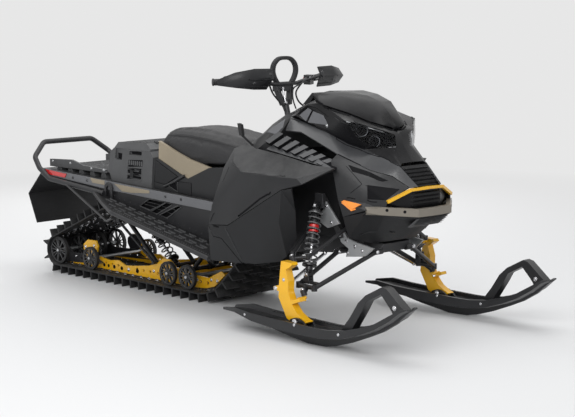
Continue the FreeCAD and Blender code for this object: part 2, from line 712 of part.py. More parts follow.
# Hood: facets of one side as x, half width and height
hood_line = [
    (-430, 0, 1122), (-362, 0, 1188), (-235, 195, 1154), (-170, 197, 1142), (-23, 168, 1107),
    (68, 118, 1069), (122, 78, 1050), (128, 0, 1024),
    (-430, 150, 1108), (-430, 184, 1074), (-382, 202, 1083), (-287, 202, 1145), (-168, 203, 1099),
    (9, 240, 1079), (72, 220, 1071), (111, 160, 1050), (160, 110, 1030), (174, 50, 1007),
    (188, 50, 948), (161, 110, 945), (130, 150, 951), (84, 210, 986),
    (-148, 200, 1006), (-23, 180, 956), (73, 170, 935), (257, 100, 861), (365, 85, 766),
    (180, 0, 1000), (190, 0, 950), (250, 0, 874), (250, 80, 872), (-109, 215, 1040)]
hood_faces = [
    (1, 2, 11, 8, 0), (1, 2, 3), (1, 3, 4), (1, 4, 5), (1, 5, 6), (1, 6, 7), (8, 9, 10, 11),
    (11, 10, 22, 12), (2, 11, 12, 3), (3, 12, 31), (12, 22, 31), (3, 31, 13, 4), (4, 13, 14), (4, 14, 15, 5),
    (5, 15, 16), (5, 16, 6), (6, 16, 17), (6, 17, 27, 7), (17, 18, 28, 27), (31, 22, 23, 13),
    (13, 23, 24, 21),
    (21, 24, 20), (20, 24, 19), (19, 24, 25, 30), (18, 19, 30, 29, 28)]
hood_half = panel([right(*p) for p in hood_line], hood_faces, SKIN, at(-120, 0, 820))
save("hood", *pair(hood_half))

# Headlamps: the lens of each side closes the opening in the hood
lamp_line = [hood_line[i] for i in (13, 14, 15, 16, 17, 18, 19, 20, 21)]
lamp_faces = [(0, 1, 8), (1, 2, 7, 8), (2, 3, 6, 7), (3, 4, 5, 6)]
headlamp = panel([right(*p) for p in lamp_line], lamp_faces, SKIN, at(-120, 0, 900))
save("headlamps", *pair(headlamp))

# Pale stripes along the hood
stripe_line = [
    (-430, 184, 1074), (-148, 200, 1006), (-23, 180, 956), (73, 170, 935), (257, 100, 861), (365, 85, 766),
    (-393, 262, 1009), (-281, 262, 1008), (-187, 262, 974), (-15, 270, 915), (162, 215, 841),
    (240, 140, 813),
    (332, 118, 762)]
stripe_faces = [(0, 6, 7), (0, 7, 1), (1, 7, 8), (1, 8, 9, 2), (2, 9, 3), (3, 9, 10), (3, 10, 4),
                (4, 10, 11),
                (4, 11, 12, 5)]
stripe = panel([right(*p) for p in stripe_line], stripe_faces, SKIN, at(-60, 0, 760))
save("hood_stripes", *pair(stripe))

# Nose panels below the stripes
nose_line = [
    (-15, 270, 912), (162, 215, 838), (240, 140, 810), (332, 118, 759), (-30, 300, 879), (150, 250, 770),
    (325, 122, 757), (298, 240, 697), (176, 270, 684), (22, 302, 690), (209, 300, 652), (55, 300, 605),
    (290, 252, 655)]
nose_faces = [(0, 4, 1), (1, 4, 5), (1, 5, 2), (2, 5, 6, 3), (4, 9, 8, 5), (5, 8, 7, 6), (9, 11, 10, 8),
              (8, 10, 12, 7)]
nose_half = panel([right(*p) for p in nose_line], nose_faces, SKIN, at(60, 0, 740))
save("nose_panels", *pair(nose_half))

# Reflectors on the nose panels
reflector_line = [(48, 303, 676), (80, 300, 688), (176, 284, 664), (118, 304, 641)]
reflector_points = [right(*p) for p in reflector_line]
outer_points = [p + V(2, -5, 0) for p in reflector_points]
save("reflectors", *pair(hull(reflector_points + outer_points)))

# Grille: a dark centre between the stripes, its slats, and the mouth below it
grille_points = [at(258, -96, 858), at(258, 96, 858), at(350, -84, 764), at(350, 84, 764)]
centre_plate = hull(grille_points + [p - V(14, 0, 6) for p in grille_points])
slats = []
for k in range(5):
    x = 268 + 17 * k
    z = 848 - 17 * k
    slats.append(hull([at(x, -88, z), at(x, 88, z), at(x + 12, -86, z - 2), at(x + 12, 86, z - 2),
                       at(x + 4, -88, z - 10), at(x + 4, 88, z - 10)]))
mouth_points = []
for x, w, z in ((338, 112, 744), (338, 112, 650), (276, 235, 694), (262, 235, 655)):
    mouth_points.extend([at(x, -w, z), at(x, w, z), at(x - 14, -w, z), at(x - 14, w, z)])
mouth = hull(mouth_points)
for k in range(4):
    z = 734 - 20 * k
    mouth = mouth.fuse(hull([at(338, -104, z), at(338, 104, z), at(352, -96, z - 4), at(352, 96, z - 4),
                             at(338, -104, z - 9), at(338, 104, z - 9)]))
low_grille = hull([at(x, y, z)
                   for x, w, z in ((392, 110, 610), (330, 110, 560), (378, 110, 610), (316, 110, 560))
                   for y in (-w, w)])
save("grille", fuse([centre_plate] + slats), mouth, low_grille)

# Yellow trim over the grille's mouth
TRIM_BAR = 15.0
corner = right(344, 118, 750)
end = right(300, 242, 697)
UP = V(0, 0, 1)
trim_bars = [strut(right(356, 0, 754), corner, TRIM_BAR, TRIM_BAR, UP),
             strut(corner, end, TRIM_BAR, TRIM_BAR, UP)]
trim_half = fuse(trim_bars)
save("nose_trim", fuse([trim_half, mirrored(trim_half)]))

# Front bumper: a pale flat bar that wraps the nose
BUMPER_TALL = 40.0
bumper_path = [(222, 302, 648), (290, 262, 652), (402, 125, 640), (412, 0, 640)]
bars = []
for p, q in zip(bumper_path, bumper_path[1:]):
    inner_p = right(p[0] - 26, p[1] - 12, p[2])
    inner_q = right(q[0] - 26, max(0, q[1] - 12), q[2])
    corners = []
    for point, tall in ((right(*p), 0), (inner_p, 0), (right(*q), 0), (inner_q, 0)):
        taper = 0.35 if point in (right(*bumper_path[0]),) else 1.0
        corners.extend([point + V(0, 0, BUMPER_TALL / 2 * taper), point - V(0, 0, BUMPER_TALL / 2 * taper)])
    bars.append(hull(corners))
bumper_half = fuse(bars)
save("front_bumper", fuse([bumper_half, mirrored(bumper_half)]))

# Belly pan under the nose
pan_line = [
    (55, 298, 603), (209, 298, 640), (290, 250, 632), (398, 118, 616), (404, 0, 616),
    (57, 280, 543), (59, 260, 495), (118, 150, 462), (223, 60, 484), (225, 0, 484), (336, 60, 578),
    (340, 0, 580),
    (120, 0, 462)]
pan_faces = [(0, 5, 1), (5, 6, 1), (1, 6, 7, 2), (2, 7, 8), (2, 8, 10, 3), (3, 10, 11, 4), (8, 9, 11, 10),
             (7, 12, 9, 8)]
pan_half = panel([right(*p) for p in pan_line], pan_faces, SKIN, at(150, 0, 640))
save("belly_pan", *pair(pan_half))

# Side panels: upper
side_line = [
    (-680, 360, 901), (-650, 302, 927), (-542, 330, 908), (-355, 330, 889), (-119, 340, 855), (42, 350, 852),
    (-600, 440, 845), (-520, 466, 797), (-304, 472, 794), (-117, 456, 795),
    (-696, 420, 804), (-725, 480, 606), (-750, 482, 502), (-581, 500, 518), (-204, 480, 734),
    (-87, 450, 768)]
side_faces = [(0, 1, 2, 6), (2, 7, 6), (2, 3, 8, 7), (3, 4, 9, 8), (4, 5, 9), (0, 6, 10), (6, 7, 11, 10),
              (7, 13, 12, 11), (7, 8, 14, 13), (8, 9, 15, 14), (9, 5, 15)]
side_panel = panel([right(*p) for p in side_line], side_faces, PANEL, at(-400, 0, 700))
save("side_panels", *pair(side_panel))

# Side panels: lower, with the foot guard behind
low_line = [
    (-750, 482, 502 - SEAM), (-581, 500, 518 - SEAM), (-204, 480, 734 - SEAM), (-140, 470, 742 - SEAM),
    (-694, 500, 448), (-629, 500, 444), (-494, 482, 330), (-395, 480, 332), (-273, 420, 352),
    (-225, 420, 385),
    (-203, 370, 472), (-180, 400, 620), (-230, 470, 560)]
low_faces = [(0, 1, 5, 4), (1, 12, 7, 6, 5), (1, 2, 12), (2, 3, 11, 12), (12, 11, 10), (12, 10, 9),
             (12, 9, 8, 7)]
low_panel = panel([right(*p) for p in low_line], low_faces, PANEL, at(-420, 0, 560))
guard_line = [(-694, 500, 448 - SEAM), (-632, 500, 444 - SEAM), (-498, 482, 328 - SEAM), (-725, 492, 314),
              (-752, 484, 498 - SEAM)]
guard = panel([right(*p) for p in guard_line], [(0, 1, 2, 3), (0, 3, 4)], PANEL, at(-620, 0, 400))
save("lower_panels", *pair(low_panel), *pair(guard))

# Footwells: close the body behind the side panels
well_line = [(-672, 352, 900), (-690, 405, 804), (-716, 465, 606), (-740, 468, 502), (-712, 476, 330),
             (-640, TUNNEL_HALF, 330), (-660, TUNNEL_HALF, 502), (-700, 292, 640), (-690, 292, 800),
             (-660, 290, 915)]
well_faces = [(0, 1, 8, 9), (1, 2, 7, 8), (2, 3, 6, 7), (3, 4, 5, 6)]
footwell = panel([right(*p) for p in well_line], well_faces, SKIN, at(-400, -380, 600))
save("footwells", *pair(footwell))

# Gill vents between the stripes and the side panels
gills = []
for k in range(7):
    x = -440 + 62 * k
    drop = 0.30 * (x + 440)
    gills.append(hull([right(x, 268, 1000 - drop), right(x + 34, 268, 990 - drop),
                       right(x - 46, 322, 950 - drop * 0.75),
                       right(x - 12, 322, 940 - drop * 0.75), right(x + 4, 256, 980 - drop),
                       right(x + 30, 256, 972 - drop),
                       right(x - 40, 310, 934 - drop * 0.75), right(x - 14, 310, 926 - drop * 0.75)]))
gill_back = panel([right(-425, 250, 978), right(-20, 258, 868), right(20, 320, 838), right(-480, 318, 908)],
                  [(0, 1, 2, 3)], SKIN, at(-250, 0, 600))
save("gill_vents", *pair(fuse([gill_back] + gills)))

# Windshield: low, dark and faceted
shield_line = [
    (-330, 0, 1205), (-200, 0, 1206), (-60, 0, 1192), (25, 0, 1164), (92, 0, 1108), (134, 0, 1048),
    (130, 0, 1024),
    (-260, 200, 1195), (-229, 203, 1162), (-170, 203, 1148), (-23, 174, 1113), (68, 124, 1075),
    (124, 84, 1056),
    (144, 42, 1046),
    (-240, 160, 1205), (-120, 140, 1192), (0, 112, 1160), (72, 76, 1112), (118, 40, 1070)]
shield_faces = [(0, 7, 14), (0, 14, 1), (1, 14, 15), (1, 15, 2), (2, 15, 16), (2, 16, 3), (3, 16, 17),
                (3, 17, 4),
                (4, 17, 18), (4, 18, 5), (5, 18, 13, 6), (14, 7, 9, 15), (7, 8, 9), (15, 9, 10, 16),
                (16, 10, 11, 17),
                (17, 11, 12, 18), (18, 12, 13)]
shield_half = panel([right(*p) for p in shield_line], shield_faces, SKIN, at(-120, 0, 900))
save("windshield", *pair(shield_half))

# Gauge between the windshield and the bars
gauge = hull([at(x, y, z)
              for x, w, z in ((-440, 90, 1132), (-372, 90, 1196), (-352, 90, 1190), (-400, 90, 1128))
              for y in (-w, w)])
save("gauge", gauge)

# Pull handle of the starter beside the seat
handle = hull([right(x, w, z) for x, z in ((-742, 1026), (-716, 1020), (-726, 962), (-704, 962))
               for w in (262, 282)])
stalk = rod(right(-715, 272, 964), right(-680, 215, 900), 6)
save("pull_handle", fuse([handle, stalk]))

# Engine block
ex, ey, ez = ENGINE_SIZE
engine = block(ENGINE_X - ex / 2, ENGINE_X + ex / 2, -ey / 2, ey / 2, KEEL_TOP, KEEL_TOP + ez)
save("engine_block", engine)

# Front frame: a keel box with a shock tower on each side
KEEL_REAR = TUNNEL_FRONT + BULKHEAD
keel = hull([at(x, y, z) for x, w, z in ((KEEL_REAR, 140, KEEL_TOP), (KEEL_REAR, 140, 340), (120, 118, 405),
                                         (150, 100, 455), (60, 118, KEEL_TOP)) for y in (-w, w)])
bulkhead = block(TUNNEL_FRONT, KEEL_REAR, -TUNNEL_HALF, TUNNEL_HALF, board_z(BOARD_X0), top_z(TUNNEL_FRONT))
tower_frame = [keel, bulkhead]
LOW_PIVOTS = ((128.0, 130.0, 418.0), (-90.0, 178.0, 402.0))
HIGH_PIVOTS = ((20.0, 178.0, 560.0), (-250.0, 178.0, 560.0))
for side in (-1, 1):
    for x, w, z in LOW_PIVOTS:
        tower_frame.append(rod(at(x, side * 90, z), at(x, side * (w + 8), z), ARM_TUBE_R + 4))
    for x, w, z in HIGH_PIVOTS:
        tower_frame.append(rod(at(x, side * (w - 30), z), at(x, side * (w + 8), z), ARM_TUBE_R + 2))
        tower_frame.append(strut(at(x, side * (w - 6), z), at(x * 0.8, side * 110, KEEL_TOP - 20), 16, 24))
    tower_frame.append(strut(at(-40, side * 172, 440), at(-129, side * 262, 690), 22, 34))
    tower_frame.append(strut(at(-330, side * 172, 420), at(-140, side * 262, 690), 22, 34))
    tower_frame.append(hull([at(x, side * w, z) for x in (-155, -100)
                             for w, z in ((268, 632), (284, 632), (268, 705),
                                                                                   (284, 705))]))
save("front_frame", fuse(tower_frame))

# Pale cast brackets at the arm mounts, and the gussets above them
bracket_outline = [(-77, 500), (-42, 515), (-13, 479), (61, 462), (166, 446), (110, 398), (-22, 382),
                   (-3, 425),
                   (-57, 455)]
bracket = plate(bracket_outline, -196, -184)
gusset = plate([(-105, 668), (-5, 560), (-88, 530), (-143, 556)], -262, -252)
save("front_brackets", *pair(bracket), *pair(gusset))

# Front arms: lower and upper tubes, each from its ball joint to two inner pivots
STANCE_HALF = SKI_STANCE / 2
KINGPIN_Y = STANCE_HALF - KINGPIN_OFFSET
CASTER = math.radians(CASTER_DEG)
BALL_HIGH_X = BALL_LOW_X - (BALL_HIGH_Z - BALL_LOW_Z) * math.tan(CASTER)
low_ball = right(BALL_LOW_X, KINGPIN_Y, BALL_LOW_Z)
high_ball = right(BALL_HIGH_X, KINGPIN_Y, BALL_HIGH_Z)
BOSS_R = 9.0
kingpin = V(-math.sin(CASTER), 0, math.cos(CASTER))
seat_low = low_ball + kingpin * (BOSS_R + BALL_R + GAP)
seat_high = high_ball + kingpin * (BOSS_R + BALL_R + GAP)
fork_front = right(12, KINGPIN_Y - 32, 258)
fork_rear = right(-98, KINGPIN_Y - 34, 262)
shock_cross = (right(6, 425, 274), right(-110, 425, 277))


def joint(point, radius):
    """An upright boss where two tubes of an arm meet."""
    return Part.makeCylinder(radius + 3, 2 * radius + 6, point - V(0, 0, radius + 3))


def socket(point):
    """The round cup over a ball of the spindle."""
    return Part.makeCylinder(BALL_R, 2 * BALL_R, point - kingpin * BALL_R, kingpin)


low_arm = [rod(fork_front, right(*LOW_PIVOTS[0]), ARM_TUBE_R),
           rod(fork_rear, right(*LOW_PIVOTS[1]), ARM_TUBE_R),
           rod(fork_front, fork_rear, ARM_TUBE_R), joint(fork_front, ARM_TUBE_R),
           joint(fork_rear, ARM_TUBE_R),
           socket(seat_low),
           strut(seat_low, right(-43, KINGPIN_Y - 33, 260), 24, 16), rod(shock_cross[0], shock_cross[1], 9)]
for y0 in (-EYE_WIDTH / 2 - GAP - 5, EYE_WIDTH / 2 + GAP):
    low_arm.append(plate([(-80, 272), (-44, 272), (-48, 332), (-76, 332)], y0 - SHOCK_FOOT[1],
                         y0 + 5 - SHOCK_FOOT[1]))
ear_out = EYE_WIDTH / 2 + GAP + 5
low_arm.append(block(-80, -44, -SHOCK_FOOT[1] - ear_out, -SHOCK_FOOT[1] + ear_out, 270, 284))
low_arm = fuse(low_arm)
yoke_front = right(-42, 448, 408)
yoke_rear = right(-156, 440, 410)
high_arm = [rod(yoke_front, right(*HIGH_PIVOTS[0]), HIGH_TUBE_R),
            rod(yoke_rear, right(*HIGH_PIVOTS[1]), HIGH_TUBE_R),
            rod(yoke_front, seat_high, HIGH_TUBE_R), rod(yoke_rear, seat_high, HIGH_TUBE_R),
            joint(yoke_front, HIGH_TUBE_R), joint(yoke_rear, HIGH_TUBE_R), socket(seat_high)]
high_arm = fuse(high_arm)
save("front_arms", *pair(low_arm), *pair(high_arm))

# Front shocks
front_shock = shock(right(*SHOCK_FOOT), right(*SHOCK_TOP), SHOCK_BODY_R, SPRING_R)
save("front_shocks", *pair(front_shock))

# Spindles: a forged leg from the head down to the ski bolt
spindle_outline = [
    (-123, 365), (-118, 392), (-50, 391), (-42, 379), (-64, 363), (-86, 351), (-68, 296), (-70, 244),
    (-52, 203),
    (8, 219), (14, 204), (-42, 183), (-6, 143), (40, 118), (66, 108), (36, 92), (-32, 88), (-78, 108),
    (-123, 184),
    (-137, 208), (-134, 238), (-172, 240), (-172, 258), (-134, 268)]
leg_y = STANCE_HALF
leg = plate(spindle_outline, -leg_y - SPINDLE_WIDTH / 2, -leg_y + SPINDLE_WIDTH / 2)
high_boss = rod(high_ball, right(BALL_HIGH_X, leg_y, BALL_HIGH_Z), BOSS_R - 2)
low_boss = rod(low_ball, right(BALL_LOW_X, leg_y, BALL_LOW_Z), BOSS_R - 2)
balls = [Part.makeSphere(BOSS_R, low_ball), Part.makeSphere(BOSS_R, high_ball)]
steer_boss = rod(right(STEER_BALL_X, leg_y, STEER_BALL_Z), right(STEER_BALL_X, leg_y - 40, STEER_BALL_Z), 8)
spindle = fuse([leg, high_boss, low_boss, steer_boss] + balls)
bolt = cross_rod(0, SKI_BOLT_Z, -leg_y - 45, -leg_y + 45, SKI_BOLT_R)
spindle = fuse([spindle, bolt])
save("spindle_R", spindle)
save("spindle_L", mirrored(spindle))

# Skis: a channel section along the keel line, with upturned tip
ski_stations = [
    (-SKI_TAIL, 50, 88, 84, 106), (-414, 70, 92, 86, 122), (-281, 77.5, 66, 52, 112),
    (-141, 77.5, 54, 27, 108),
    (58, 77.5, 48, 0, 106), (181, 77.5, 50, 4, 104), (250, 77.5, 56, 17, 106), (360, 77.5, 76, 52, 120),
    (470, 76, 112, 96, 150), (556, 74, 148, 134, 182), (643, 70, 200, 187, 232), (700, 58, 246, 238, 266),
    (TIP_REACH, 40, 258, 255, 270)]
ski_sections = []
for x, w, side_z, keel_z, rim_z in ski_stations:
    w = w * SKI_WIDTH / 155
    floor_z = max(side_z + 8, rim_z - SKI_CHANNEL)
    half = [(w, side_z + 6), (w, rim_z), (w - SKI_RIM, rim_z), (w - SKI_RIM - 6, floor_z)]
    ring = half + [(-y, z) for y, z in half[::-1]]
    ring = ring + [(-w + 22, side_z), (-KEEL_WIDTH / 2, side_z), (-KEEL_WIDTH / 2 + 4, keel_z),
                   (KEEL_WIDTH / 2 - 4, keel_z), (KEEL_WIDTH / 2, side_z), (w - 22, side_z)]
    ski_sections.append([right(x, STANCE_HALF + y, z) for y, z in ring])
ski = loft(ski_sections)
slot = block(-150, 90, -STANCE_HALF - SPINDLE_WIDTH / 2 - 2, -STANCE_HALF + SPINDLE_WIDTH / 2 + 2, 84, 140)
ski = ski.cut(slot)
loop_outline = [
    (287, 92), (358, 179), (408, 254), (457, 298), (561, 352), (590, 345), (700, 258), (700, 246),
    (640, 214),
    (623, 243), (607, 262), (554, 315), (465, 269), (433, 215), (371, 122), (355, 92)]
handle_loop = plate(loop_outline, -STANCE_HALF - LOOP_WIDTH / 2, -STANCE_HALF + LOOP_WIDTH / 2)
saddles = []
for side in (-1, 1):
    y0 = side * (SPINDLE_WIDTH / 2 + 8)
    cheek = plate([(-60, 78), (-40, 112), (-10, 122), (20, 122), (50, 108), (80, 78)], -STANCE_HALF + y0 - 6,
                  -STANCE_HALF + y0 + 6)
    saddles.append(cheek.cut(cross_rod(0, SKI_BOLT_Z, -STANCE_HALF - 60, -STANCE_HALF + 60,
                                       SKI_BOLT_R + 0.2)))
ski = fuse([ski, handle_loop] + saddles)
ski = ski.cut(cross_rod(0, SKI_BOLT_Z, -STANCE_HALF - 60, -STANCE_HALF + 60, SKI_BOLT_R + 0.2))
save("ski_R", ski)
save("ski_L", mirrored(ski))

# Tie rods from the spindles' steering arms to the pitman arm
TIE_BALL_R = 12.0
tie_out = right(STEER_BALL_X, leg_y - 40 - TIE_BALL_R - GAP, STEER_BALL_Z)
tie_in = right(STEER_BALL_X - 4, 205, 386)
tie = fuse([rod(tie_out, tie_in, TIE_ROD_R), Part.makeSphere(TIE_BALL_R, tie_out),
            Part.makeSphere(TIE_BALL_R, tie_in)])
save("tie_rod_R", tie)
save("tie_rod_L", mirrored(tie))

# Steering post with its riser
post = [rod(post_foot, post_head - lean * 60, POST_R)]
for side in (-1, 1):
    post.append(strut(post_foot + lean * 120 + V(0, side * 22, 0), post_head + V(0, side * 50, 0), 16, 34))
clamp = hull([post_head + V(dx, dy, dz) for dx in (-17, 17) for dy in (-62, 62) for dz in (-17, 20)])
post.append(clamp)
save("steering_post", fuse(post))

# Handlebar with grips, controls and levers
bar_half = [post_head + V(0, 0, 24), right(-668, 90, 1229), right(-672, 170, 1246), right(*GRIP_END)]
bar_full = [V(p.x, -p.y, p.z) for p in bar_half[:0:-1]]
bar_line = bar_full + bar_half[1:]
bar = [tube(bar_line, BAR_R, 40)]
grip_dir = bar_half[3] - bar_half[2]
grip_dir.normalize()
grip = rod(bar_half[3] - grip_dir * 135, bar_half[3], GRIP_R)
control = hull([bar_half[2] + grip_dir * s + V(dx, 0, dz)
                for s in (10, 85) for dx in (-26, 24) for dz in (-30, 22)])
lever = hull([bar_half[2] + grip_dir * s + V(dx, 0, dz)
              for s, dx in ((40, 30), (190, 44)) for dz in (-5, 5)] +
             [bar_half[2] + grip_dir * s + V(dx + 12, 0, 0) for s, dx in ((40, 30), (190, 44))])
lever_arm = strut(bar_half[2] + grip_dir * 50 + V(20, 0, 0),
                  bar_half[2] + grip_dir * 50 + V(44, 0, 0), 18, 10)
bar.extend(pair(fuse([grip, control, lever_arm, lever])))
save("handlebar", fuse(bar))

# Handguards in front of the grips
guard_rows = [
    (-588, 172, 1318), (-598, 290, 1320), (-640, 390, 1302), (-735, 432, 1262),
    (-566, 172, 1274), (-572, 290, 1274), (-612, 400, 1262), (-722, 440, 1246),
    (-612, 190, 1206), (-606, 290, 1210), (-640, 390, 1222), (-728, 432, 1232)]
guard_faces = [(0, 1, 5, 4), (1, 2, 6, 5), (2, 3, 7, 6), (4, 5, 9, 8), (5, 6, 10, 9), (6, 7, 11, 10)]
handguard = panel([right(*p) for p in guard_rows], guard_faces, 6, at(-760, -280, 1262))
stay = rod(right(-665, 130, 1236), right(-568, 190, 1272), 7)
save("handguards", *pair(fuse([handguard, stay])))

# Grab strap that stands over the bars
strap_foot = POST_HEAD[1] + 27
strap_top = strap_foot + STRAP_TALL
strap_line = [(0.62, 0.0), (1.0, 0.47), (0.86, 0.78), (0.42, 1.0)]
outer_half = [(STRAP_HALF * share, strap_foot + STRAP_TALL * rise) for share, rise in strap_line]
inner_half = [(w - STRAP_THICK, min(z, strap_top - STRAP_THICK)) for w, z in outer_half]
outline = outer_half + [(-w, z) for w, z in outer_half[::-1]]
hole = inner_half + [(-w, z) for w, z in inner_half[::-1]]
strap_x = POST_HEAD[0] - STRAP_WIDTH / 2 + 10
strap = flat([at(strap_x, w, z) for w, z in outline]).extrude(V(STRAP_WIDTH, 0, 0))
strap_hole = flat([at(strap_x - 1, w, z) for w, z in hole]).extrude(V(STRAP_WIDTH + 2, 0, 0))
lower_cut = block(strap_x - 1, strap_x + STRAP_WIDTH + 1, -STRAP_HALF * 0.5, STRAP_HALF * 0.5,
                  strap_foot - 12,
                  strap_foot + 18)
save("grab_strap", strap.cut(strap_hole).cut(lower_cut))

# Neighbours meet face to face: each piece gives way to what it is fitted around
trim("hood", "headlamps", "hood_stripes", "nose_trim")
trim("nose_panels", "hood_stripes", "reflectors", "front_bumper", "nose_trim")
trim("grille", "hood_stripes", "front_bumper", "nose_trim", "hood", "nose_panels")
trim("belly_pan", "front_bumper", "grille", "nose_panels")
trim("gill_vents", "nose_panels", "hood_stripes", "tank_cover", "side_panels", "hood")
trim("gauge", "hood", "windshield", "tank_cover")
trim("windshield", "hood")
trim("footwells", "side_panels", "lower_panels", "tank_cover", "tunnel")
trim("lower_panels", "side_panels")
trim("tank_cover", "side_panels", "hood", "engine_block")
trim("pull_handle", "tank_cover", "side_panels")
trim("slide_rails", "wheels_axles", "track")
trim("skid_arms", "slide_rails")
trim("skid_shocks", "skid_arms")
trim("front_shocks", "front_frame", "front_arms")
trim("front_brackets", "front_frame", "front_arms")
trim("front_frame", "front_arms", "engine_block", "tunnel")
trim("handlebar", "steering_post")
trim("handguards", "handlebar")
trim("grab_strap", "handlebar", "steering_post")
trim("tail_lamps", "rear_bumper")
trim("running_boards", "rear_bumper")
trim("tunnel_strips", "rear_bumper")
trim("snow_flap", "tunnel")
trim("seat_trim", "seat", "seat_base")

for name, found in pieces.items():
    whole = found[0] if len(found) == 1 else Part.makeCompound(found)
    whole.exportStep("parts/" + name + ".step")
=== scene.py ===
import math

import bmesh
import bpy
from bpy.props import FloatProperty, FloatVectorProperty, IntProperty, PointerProperty
from mathutils import Matrix, Vector
from mathutils.bvhtree import BVHTree


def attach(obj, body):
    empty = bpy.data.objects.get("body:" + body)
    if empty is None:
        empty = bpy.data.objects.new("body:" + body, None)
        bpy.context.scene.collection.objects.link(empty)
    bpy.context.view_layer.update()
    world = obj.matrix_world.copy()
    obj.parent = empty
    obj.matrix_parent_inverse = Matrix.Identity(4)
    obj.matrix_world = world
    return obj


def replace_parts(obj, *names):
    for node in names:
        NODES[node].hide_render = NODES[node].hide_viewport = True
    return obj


bl_info = {
    "name": "Snowmobile looks",
    "version": (1, 0, 0),
    "blender": (4, 5, 0),
    "location": "3D Viewport > Sidebar > Sled",
    "description": "Finishes, seat, springs, wheels and small fittings of a utility snowmobile",
    "category": "Object",
}

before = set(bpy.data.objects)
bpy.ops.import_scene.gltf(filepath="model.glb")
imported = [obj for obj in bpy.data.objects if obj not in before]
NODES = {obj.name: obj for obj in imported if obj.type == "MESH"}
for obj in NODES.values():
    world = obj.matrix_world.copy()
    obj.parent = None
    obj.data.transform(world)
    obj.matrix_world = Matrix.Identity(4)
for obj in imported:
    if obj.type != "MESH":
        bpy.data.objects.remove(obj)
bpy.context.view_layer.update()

# Fore and aft place of the ski bolt, from which the sizes below are taken
BOLT_X = 0.988

UP = Vector((0, 0, 1))
DOWN = Vector((0, 0, -1))
AHEAD = Vector((1, 0, 0))
RIGHT = Vector((0, -1, 0))
LEFT = Vector((0, 1, 0))


def colour(name, text, value):
    return FloatVectorProperty(name=name, description=text, default=value, size=3, min=0, max=1,
                               subtype="COLOR")


def number(name, text, value, **more):
    return FloatProperty(name=name, description=text, default=value, min=0, **more)


# Settings that a user would change


class SLED_PG_colours(bpy.types.PropertyGroup):
    charcoal: colour("Charcoal", "Satin panels of the sides and nose", (0.0150, 0.0154, 0.0168))
    dark: colour("Dark", "Grained lower panels and footwells", (0.0115, 0.0118, 0.0130))
    crate: colour("Box grey", "Storage box and rear deck", (0.072, 0.073, 0.075))
    gloss: colour("Gloss", "Shield and nose insert", (0.006, 0.006, 0.007))
    stripe: colour("Stripe", "Light bands along the tunnel", (0.135, 0.137, 0.145))
    band: colour("Hood band", "Grey bands and inserts of the hood", (0.042, 0.043, 0.046))
    beige: colour("Beige", "The seat's insert and the tunnel's", (0.31, 0.26, 0.185))
    sand: colour("Sand", "Front bumper", (0.185, 0.165, 0.135))
    yellow: colour("Yellow", "Spindles, rails and nose trim", (0.86, 0.455, 0.006))
    coat: colour("Powder coat", "Tunnel, boards and bumper tubes", (0.022, 0.022, 0.024))
    rubber: colour("Rubber", "Track, flap and wheel rims", (0.014, 0.014, 0.015))
    ski: colour("Ski plastic", "Both skis", (0.0135, 0.014, 0.0155))
    vinyl: colour("Vinyl", "Seat cover", (0.021, 0.021, 0.0225))
    steel: colour("Steel", "Shafts, bolts and clips", (0.62, 0.62, 0.64))
    cast: colour("Cast alloy", "Brackets behind the front arms", (0.46, 0.47, 0.48))
    red: colour("Red", "Tail lamps and spring adjusters", (0.55, 0.012, 0.012))
    orange: colour("Orange", "Side reflectors", (0.85, 0.26, 0.02))


class SLED_PG_sizes(bpy.types.PropertyGroup):
    wear_width: number("Wear width", "How far wear reaches from an edge", 0.0022, unit="LENGTH")
    spring_wire: number("Spring wire", "Thickness of the spring wire", 0.0085, unit="LENGTH")
    spring_turns: IntProperty(name="Spring turns", description="Turns of a front spring", default=11, min=3)
    lug_rows: IntProperty(name="Lug rows", description="Rows of lugs around the track", default=54, min=10)
    crease: number("Crease", "Sharper edges than this stay crisp", math.radians(34), subtype="ANGLE")
    crown: number("Seat crown", "Most that the seat's cover swells", 0.007, unit="LENGTH")


class SLED_PG_stage(bpy.types.PropertyGroup):
    floor: colour("Floor", "Colour of the floor", (0.80, 0.80, 0.80))
    key: number("Key light", "Power of the front light", 230, unit="POWER")
    top: number("Top light", "Power of the overhead light", 90, unit="POWER")
    back: number("Back light", "Power of the light behind", 120, unit="POWER")
    sky: number("Room light", "Strength of the light from all round", 0.52)
    backdrop: number("Backdrop", "Tone of the backdrop, where 1 is white", 0.80)
    lens: number("Lens", "Focal length of the camera", 97.2, unit="CAMERA")
    spot: FloatVectorProperty(name="Camera place", description="Where the camera stands", size=3,
                              subtype="TRANSLATION", default=(6.332, -5.859, 1.692))
    aim: FloatVectorProperty(name="Camera aim", description="The way that the camera looks", size=3,
                             subtype="DIRECTION", default=(-0.7084, 0.6928, -0.1350))


# Mesh making


def at(x, w, z):
    """A point from its place behind or ahead of the ski bolt, its distance to the right, and its height."""
    return Vector((x + BOLT_X, -w, z))


def mm(x, w, z):
    """The same, given in millimetres."""
    return at(x / 1000, w / 1000, z / 1000)


def line_of(*points):
    """Several points given in millimetres."""
    return [mm(*point) for point in points]


def upright(w, *points):
    """Points of an upright plane, from its distance to the right and their places in millimetres."""
    return [at(x / 1000, w, z / 1000) for x, z in points]


def middle_of(points):
    return sum(points, Vector()) / len(points)


def across(axis):
    """Two unit directions square to an axis and to each other."""
    axis = axis.normalized()
    side = axis.cross(UP)
    if side.length < 0.01:
        side = axis.cross(LEFT)
    side.normalize()
    return side, side.cross(axis).normalized()


def circle(centre, u, v, radius, count):
    """Points round a circle that lies in two directions."""
    angles = [2 * math.pi * k / count for k in range(count)]
    return [centre + (u * math.cos(a) + v * math.sin(a)) * radius for a in angles]


def linked(name, data):
    """A new object in the scene."""
    made = bpy.data.objects.new(name, data)
    bpy.context.scene.collection.objects.link(made)
    return made


